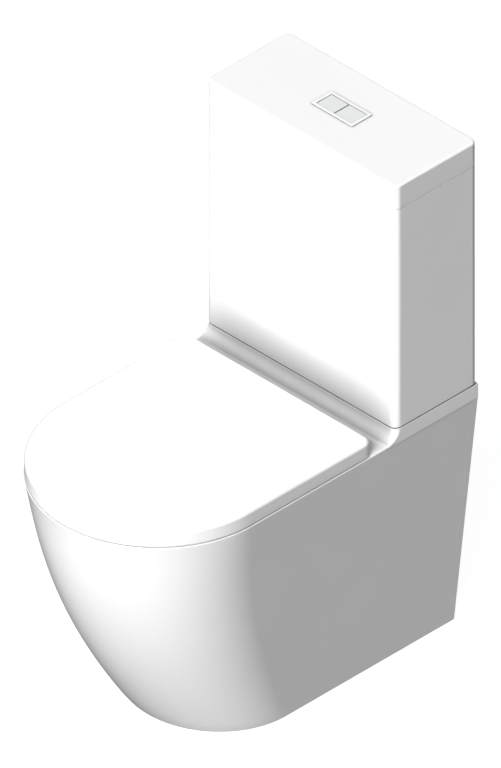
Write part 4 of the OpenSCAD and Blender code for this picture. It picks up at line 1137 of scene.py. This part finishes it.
tank = rounded_block("tank_china", at(-BODY_HALF, CISTERN_D, TANK_BASE_H), at(BODY_HALF, 0, TANK_TOP_H),
                     CORNER_R, 12)
round_edges(tank, at_height(TANK_BASE_H), TANK_FOOT_EDGE, 3)
round_edges(tank, at_height(TANK_TOP_H), TANK_TOP_EDGE, 3)
inside = rounded_block("tank_inside", at(TANK_T - BODY_HALF, CISTERN_D - TANK_T, TANK_FLOOR_H),
                       at(BODY_HALF - TANK_T, TANK_T, TANK_TOP_H + TANK_OVERRUN), INNER_CORNER, 8)
round_edges(inside, at_height(TANK_FLOOR_H), INNER_FLOOR_ROUND, 5)
cut(tank, inside)
FLOOR_HOLES = ((0, VALVE_HOLE_R), (-COUPLING_X, BOLT_HOLE_R), (COUPLING_X, BOLT_HOLE_R),
               (FILL_X, INLET_HOLE_R))
for x, radius in FLOOR_HOLES:
    cut(tank, drill(x, CISTERN_MID, radius, TANK_BASE_H, TANK_FLOOR_H))
for x in (-SCREW_X, SCREW_X):
    cut(tank, rod("drill", at(x, -PAST, SCREW_H), at(x, TANK_T + PAST, SCREW_H), SCREW_HOLE_R, 32))
finish_piece(tank, "root", "cistern_tank")

# %% [markdown]
# ## The cistern lid
# The lid drops over the tank and overhangs nothing: its faces run on from the tank's with only a fine seam.
# Its top edge is rounded by 4 mm, which is the bright line that runs round it. Underneath it is hollow, with
# a lip that finds the inside of the tank, and in the middle there is an opening for the buttons.

# %% The cistern lid
LIP_BASE_H, LID_TOP_H = low_high("cistern_lid", "z")
LID_EDGE = 4
LID_FOOT_EDGE = 0.5
LID_T = 11
LID_TOP_T = 12
LID_LEDGE_T = 5
LIP_CLEAR = 1.5
LIP_T = 5
LID_CEILING_H = LID_TOP_H - LID_TOP_T
OPENING_HALF = (38, 18)
LIP_CORNER = 6
LID_INNER_CORNER = 5
LIP_INNER_CORNER = 4
OPENING_CORNER = 3


def centred_block(name, half_x, half_y, low, high, corner, steps=8):
    """A rounded box centred on the cistern."""
    return rounded_block(name, at(-half_x, CISTERN_MID + half_y, low),
                         at(half_x, CISTERN_MID - half_y, high), corner, steps)


cistern_lid = centred_block("lid_china", BODY_HALF, CISTERN_MID, LID_BASE_H, LID_TOP_H, CORNER_R, 12)
round_edges(cistern_lid, at_height(LID_TOP_H), LID_EDGE, 8)
round_edges(cistern_lid, at_height(LID_BASE_H), LID_FOOT_EDGE, 3)
lip_half = (BODY_HALF - TANK_T - LIP_CLEAR, CISTERN_MID - TANK_T - LIP_CLEAR)
join(cistern_lid, centred_block("lip", *lip_half, LIP_BASE_H, LID_BASE_H + LAP, LIP_CORNER))
cut(cistern_lid, centred_block("lid_inside", BODY_HALF - LID_T, CISTERN_MID - LID_T,
                               LID_BASE_H + LID_LEDGE_T, LID_CEILING_H, LID_INNER_CORNER))
cut(cistern_lid, centred_block("lip_inside", lip_half[0] - LIP_T, lip_half[1] - LIP_T,
                               LIP_BASE_H - PAST, LID_BASE_H + LID_LEDGE_T + PAST, LIP_INNER_CORNER))
cut(cistern_lid, centred_block("button_opening", *OPENING_HALF, LID_CEILING_H - PAST, LID_TOP_H + PAST,
                               OPENING_CORNER))
finish_piece(cistern_lid, "cistern_cover", "cistern_lid")

# %% [markdown]
# ## Bezel and buttons
# The bezel is a thin white frame with a tray that hangs through the lid. In the tray stand the two buttons,
# half flush and full flush, with a hair's gap round them and a wider one between. Small moulded parts never
# have a truly sharp edge. Their rounding is under a millimetre, but without it they'd catch no light.

# %% The bezel
BEZEL_HALF = (41, 20.5)
BEZEL_CORNER = 1.5
BEZEL_ROUND = 0.5
TRAY_ROUND = 0.3
TRAY_OPEN = (35.5, 15.5)
TRAY_T = 1.5
TRAY_LAP = 0.5
TRAY_CORNER = 2
TRAY_INNER_CORNER = 1
TRAY_FLOOR_H = TRAY_BASE_H + 2.5
BEZEL_UNDERCUT = 0.8
BUTTON_X = middle("full_button", "x")
STEM_R = 4
STEM_FIT = 0.3

bezel = centred_block("bezel_frame", *BEZEL_HALF, LID_TOP_H, BEZEL_TOP_H, BEZEL_CORNER)
round_edges(bezel, at_height(BEZEL_TOP_H), BEZEL_ROUND, 4)
round_edges(bezel, at_height(LID_TOP_H), BEZEL_UNDERCUT, 2)
join(bezel, centred_block("tray", TRAY_OPEN[0] + TRAY_T, TRAY_OPEN[1] + TRAY_T,
                          TRAY_BASE_H, LID_TOP_H + TRAY_LAP, TRAY_CORNER))
cut(bezel, centred_block("tray_inside", *TRAY_OPEN, TRAY_FLOOR_H, BEZEL_TOP_H + PAST, TRAY_INNER_CORNER))
for side in (-1, 1):
    cut(bezel, drill(side * BUTTON_X, CISTERN_MID, STEM_R + STEM_FIT, TRAY_BASE_H, TRAY_FLOOR_H))
round_edges(bezel, lambda e: at_height(BEZEL_TOP_H)(e) and sharp(e), TRAY_ROUND, 3)
finish_piece(bezel, "cistern_cover", "button_bezel")

# %% [markdown]
# ## Buttons
# Each button is a hollow cap on a stem: the cap fills the tray's opening, and the stem is bored for the rod
# that reaches down to the flush valve. It starts as a rounded block, and the same recipe makes both.

# %% The buttons
BUTTON_LOW, BUTTON_TOP_H = low_high("full_button", "z")
BUTTON_HALF = [(high - low) / 2 for low, high in (low_high("full_button", axis) for axis in "xy")]
BUTTON_CAP_H = 8
BUTTON_CORNER = 1
BUTTON_INNER_CORNER = 0.6
BUTTON_EDGE = 0.7
BUTTON_TOP_T = 2
BUTTON_WALL = 1.4
ROD_BORE_R = 2.6
ROD_BORE_L = 19


def button_block(name, x, shrink, low, high, corner):
    half_x, half_y = (half - shrink for half in BUTTON_HALF)
    return rounded_block(name, at(x - half_x, CISTERN_MID + half_y, low),
                         at(x + half_x, CISTERN_MID - half_y, high), corner, 5)


def make_button(name, x):
    """A cap with rounded edges, hollow below, on a bored stem."""
    cap_low = BUTTON_TOP_H - BUTTON_CAP_H
    button = button_block(name, x, 0, cap_low, BUTTON_TOP_H, BUTTON_CORNER)
    round_edges(button, at_height(BUTTON_TOP_H), BUTTON_EDGE, 4)
    cut(button, button_block("under", x, BUTTON_WALL, cap_low - PAST, BUTTON_TOP_H - BUTTON_TOP_T,
                             BUTTON_INNER_CORNER))
    join(button, post("stem", x, CISTERN_MID, BUTTON_LOW, BUTTON_TOP_H - BUTTON_TOP_T / 2, STEM_R))
    cut(button, post("rod_bore", x, CISTERN_MID, BUTTON_LOW - PAST, BUTTON_LOW + ROD_BORE_L, ROD_BORE_R))
    return button


finish_piece(make_button("half_flush_cap", -BUTTON_X), "half_button", "half_button")
finish_piece(make_button("full_flush_cap", BUTTON_X), "full_button", "full_button")

# %% [markdown]
# ## Button springs
# Under each cap a coil of steel wire pushes the button back up. A coil is a small circle that is turned
# and lifted at the same time, which is what the screw modifier does. The wire's two ends are then closed.
# As a button goes down its spring has to shorten.

# %% Button springs
SPRING_R = 6.4
SPRING_WIRE_R = 0.5
SPRING_TURNS = 5
SPRING_LOW, SPRING_TOP_H = low_high("half_spring", "z")
SPRING_H = SPRING_TOP_H - SPRING_LOW
TRAVELS = {joint["name"]: joint.get("range_m", (0, 0))[1] / MM
           for joint in frame["record"]["behaviour"]["joints"]}


def make_spring(name, x):
    clear()
    bpy.ops.mesh.primitive_circle_add(vertices=12, radius=SPRING_WIRE_R * MM, location=(SPRING_R * MM, 0, 0),
                                      rotation=(math.pi / 2, 0, 0))
    spring = settle(name)
    coil = spring.modifiers.new("coil", "SCREW")
    coil.iterations = SPRING_TURNS
    coil.steps = coil.render_steps = 28
    coil.screw_offset = (SPRING_H - 2 * SPRING_WIRE_R) / SPRING_TURNS * MM
    apply_modifiers(spring)
    edit(spring)
    pick_all()
    bpy.ops.mesh.fill_holes(sides=12)
    leave_edit()
    spring.location = at(x, CISTERN_MID, SPRING_LOW + SPRING_WIRE_R)
    return settle(name)


for x, half in ((-BUTTON_X, "half"), (BUTTON_X, "full")):
    press = half + "_flush_press"
    spring = make_spring(half + "_flush_spring", x)
    finish_piece(spring, "cistern_cover", half + "_spring", angle=SPRING_SMOOTH_ANGLE)
    at(x, CISTERN_MID, SPRING_LOW)
    1 - TRAVELS[press] / SPRING_H
    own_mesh(spring)

# %% [markdown]
# ## Hinge lugs
# Ring and lid turn on the hinge with two lugs each: a long one that holds the soft-close damper and a short
# ear on the other side. The lid has them the other way round, so that the four share one axis. One recipe
# makes them all: a round hub on the axis, a web that reaches forward to the piece, and the bores.

# %% Hinge lugs
HUB_R = 7.2
HUB_EDGE = 0.6
PIN_R = 3
DAMPER_R = 5.4
DAMPER_L = 42
BARREL_L = 18
HUB_GAP = 1
EAR_L = 12
DAMPER_HUB_L = DAMPER_L + 6
DAMPER_X = FIXING_X - BARREL_L / 2 - HUB_GAP - DAMPER_L / 2
DAMPER_HUB_X = FIXING_X - BARREL_L / 2 - HUB_GAP - DAMPER_HUB_L / 2
EAR_X = FIXING_X + BARREL_L / 2 + HUB_GAP + EAR_L / 2
RUNNING_FIT = 0.05
WEB_INSET = 0.7


def x_rod(name, x, length, radius):
    """A round bar on the hinge axis."""
    return rod(name, at(x - length / 2, AXIS_BACK, AXIS_H), at(x + length / 2, AXIS_BACK, AXIS_H), radius)


def add_lugs(piece, side, forward, low, high):
    """Adds the damper's lug on one side and the ear on the other. Their webs lie between two heights."""
    for x, length in ((side * DAMPER_HUB_X, DAMPER_HUB_L), (-side * EAR_X, EAR_L)):
        hub = x_rod("hub", x, length, HUB_R)
        round_edges(hub, sharp, HUB_EDGE, 2)
        half = length / 2 - WEB_INSET
        web = block("web", at(x - half, AXIS_BACK + forward, low), at(x + half, AXIS_BACK, high))
        join(piece, hub, web)
    cut(piece, x_rod("damper_bore", side * (DAMPER_X + PAST), DAMPER_L + 2 * PAST, DAMPER_R + RUNNING_FIT),
        x_rod("pin_bore", -side * EAR_X, EAR_L + 2 * PAST, PIN_R + RUNNING_FIT))


print("damper lug", DAMPER_HUB_L, "ear", EAR_L, "at", round(DAMPER_HUB_X, 2), round(EAR_X, 2))

# %% [markdown]
# ## The seat ring
# The ring is a thick moulding with an oval opening. Its outer edge stays inside the lid that wraps over it,
# and its inner edge is rounded most, because that is where one sits. The opening starts as a circle whose
# front half is moved forward.

# %% The seat ring
RING_BASE_H = low_high("ring_buffers", "z")[1]
RING_T = 14
RING_HALF = low_high("seat_ring", "x")[1]
RING_SETBACK = 4.3
RING_BACK = AXIS_BACK + HUB_R + RING_SETBACK
RING_OPEN_HALF = 224 / 2
RING_OPEN_BACK, RING_OPEN_FRONT = 300, 566
RING_OPEN_MID = RING_OPEN_BACK + RING_OPEN_HALF
RING_TOP_H = RING_BASE_H + RING_T
WEB_LAP = 4
WEB_STEP = 1
RING_ROUND = (4, 2)
RING_INNER_ROUND = (6, 2)


def seat_slab(name, half, back, low, high):
    """A flat D between two heights, with the seat's own curve in front."""
    plan = Level(half, RIM_CURVE_START + half, RIM_CURVE_START, low)
    return d_stack(name, [plan, plan._replace(z=high)], back)


def back_corners(back):
    return lambda e: upright(e) and ends(e, lambda co: same(co.y, from_wall(back)))


ring = seat_slab("seat_ring_shell", RING_HALF, RING_BACK, RING_BASE_H, RING_TOP_H)
round_edges(ring, back_corners(RING_BACK), RING_ROUND[0], 5)
round_edges(ring, at_height(RING_TOP_H), RING_ROUND[0], 6)
round_edges(ring, at_height(RING_BASE_H), RING_ROUND[1], 4)
opening = post("opening", 0, RING_OPEN_MID, RING_BASE_H - WELL_PAST, RING_TOP_H + WELL_PAST,
               RING_OPEN_HALF, 128)
edit(opening)
pick("VERT", lambda v: v.co.y < from_wall(RING_OPEN_MID) - NEAR)
bpy.ops.transform.translate(value=(0, (RING_OPEN_MID + RING_OPEN_HALF - RING_OPEN_FRONT) * MM, 0))
leave_edit()
cut(ring, opening)


def on_opening(e):
    """True on the sharp edge where the opening meets the ring's top or underside."""
    return sharp(e) and ends(e, lambda co: abs(co.x) < (RING_OPEN_HALF + 1) * MM
                             and co.y < from_wall(RING_OPEN_BACK - 1))


round_edges(ring, lambda e: on_opening(e) and not at_height(RING_BASE_H)(e), RING_INNER_ROUND[0], 7)
round_edges(ring, lambda e: on_opening(e) and at_height(RING_BASE_H)(e), RING_INNER_ROUND[1], 3)
add_lugs(ring, 1, RING_BACK - AXIS_BACK + WEB_LAP, RING_BASE_H + WEB_STEP, RING_TOP_H - WEB_STEP)
finish_piece(ring, "seat_ring", "seat_ring")

# %% [markdown]
# ## The seat lid
# The lid wraps over the ring: a thin flat shell with a skirt that reaches almost to the deck. The flat slab
# gets a broad rounding round its top, then its underside is inset by the wall and pushed up. The skirt runs
# round the front and the sides only, because a wall at the back would hit the hinge pillars as the lid
# swings up. Behind the hinge its ends are trimmed to a circle about the axis, so that they clear the deck.

# %% The seat lid
SEAT_EDGE = 6
SEAT_INNER_ROUND = 2
SEAT_FOOT_ROUND = 0.8
SEAT_CORNER = 15
SEAT_LID_T = 4
SEAT_CEILING_H = SEAT_TOP_H - SEAT_LID_T
WEB_SINK = 0.5
DECK_CLEAR = 0.8
SWING_R = AXIS_H - DECK_H - DECK_CLEAR
BEHIND_AXIS = 60

lid = seat_slab("seat_lid_shell", SEAT_HALF, SEAT_BACK, SEAT_BASE_H, SEAT_TOP_H)
round_edges(lid, back_corners(SEAT_BACK), SEAT_CORNER, 12)
round_edges(lid, at_height(SEAT_TOP_H), SEAT_EDGE, 10)
edit(lid)
pick("FACE", lambda f: f.normal.z < DOWNWARDS)
bpy.ops.mesh.inset(thickness=SEAT_LID_T * MM)
push = (SEAT_CEILING_H - SEAT_BASE_H) * MM
bpy.ops.mesh.extrude_region_move(TRANSFORM_OT_translate={"value": (0, 0, push)})
round_edges(lid, at_height(SEAT_CEILING_H), SEAT_INNER_ROUND, 4)
round_edges(lid, at_height(SEAT_BASE_H), SEAT_FOOT_ROUND, 2)
cut(lid, block("open_back", at(SEAT_LID_T - SEAT_HALF, SEAT_BACK + SEAT_CORNER + 1, SEAT_BASE_H - PAST),
               at(SEAT_HALF - SEAT_LID_T, SEAT_BACK - PAST, SEAT_CEILING_H)))
keep = x_rod("keep", 0, 4 * BODY_HALF, SWING_R)
trim = block("trim", at(-2 * BODY_HALF, AXIS_BACK, DECK_H - WELL_PAST),
             at(2 * BODY_HALF, AXIS_BACK - BEHIND_AXIS, AXIS_H))
cut(trim, keep)
cut(lid, trim)
add_lugs(lid, -1, HUB_R, AXIS_H, SEAT_CEILING_H + WEB_SINK)
finish_piece(lid, "seat_lid", "seat_lid")

# %% [markdown]
# ## Buffers
# Small soft feet keep the ring off the china and the lid off the ring, and take the knock out of the last
# millimetre. Each is a button of elastomer with a rounded edge, modelled once and copied to its places.

# %% Buffers
RING_BUFFER_R = 8
LID_BUFFER_R = 6
BUFFER_EDGE = 1.2
BUFFER_X = low_high("ring_buffers", "x")[1] - RING_BUFFER_R
RING_BUFFER_BACKS = low_high("ring_buffers", "y")
LID_BUFFER_BACKS = low_high("lid_buffers", "y")


def make_buffers(name, radius, low, high, places):
    """Equal round feet at several places, rounded on the side that lands."""
    feet = []
    for x, back in places:
        if feet:
            alone(feet[0])
            bpy.ops.object.duplicate()
            foot = bpy.context.object
            foot.location = at(x, back, 0) - at(*places[0], 0)
            foot = settle(name)
        else:
            foot = post(name, x, back, low, high, radius, 40)
            round_edges(foot, at_height(low), BUFFER_EDGE, 4)
        feet.append(foot)
    alone(feet[0])
    for foot in feet:
        foot.select_set(True)
    bpy.ops.object.join()
    bpy.context.object.name = name
    return bpy.context.object


ring_places = [(side * BUFFER_X, back) for side in (-1, 1)
               for back in (RING_BUFFER_BACKS[0] + RING_BUFFER_R, RING_BUFFER_BACKS[1] - RING_BUFFER_R)]
finish_piece(make_buffers("ring_feet", RING_BUFFER_R, *low_high("ring_buffers", "z"), ring_places),
             "seat_ring", "ring_buffers")
lid_places = [(0, LID_BUFFER_BACKS[1] - LID_BUFFER_R)]
lid_places += [(side * BUFFER_X, LID_BUFFER_BACKS[0] + LID_BUFFER_R) for side in (-1, 1)]
finish_piece(make_buffers("lid_feet", LID_BUFFER_R, *low_high("lid_buffers", "z"), lid_places),
             "seat_lid", "lid_buffers")

# %% [markdown]
# ## Finish
# The last step prints the frame's own box. The dressed toilet has to agree with it, because the looks may
# round an edge but never change a size.

# %% Finish
print("frame", [[round(c, 4) for c in corner] for corner in frame_box])
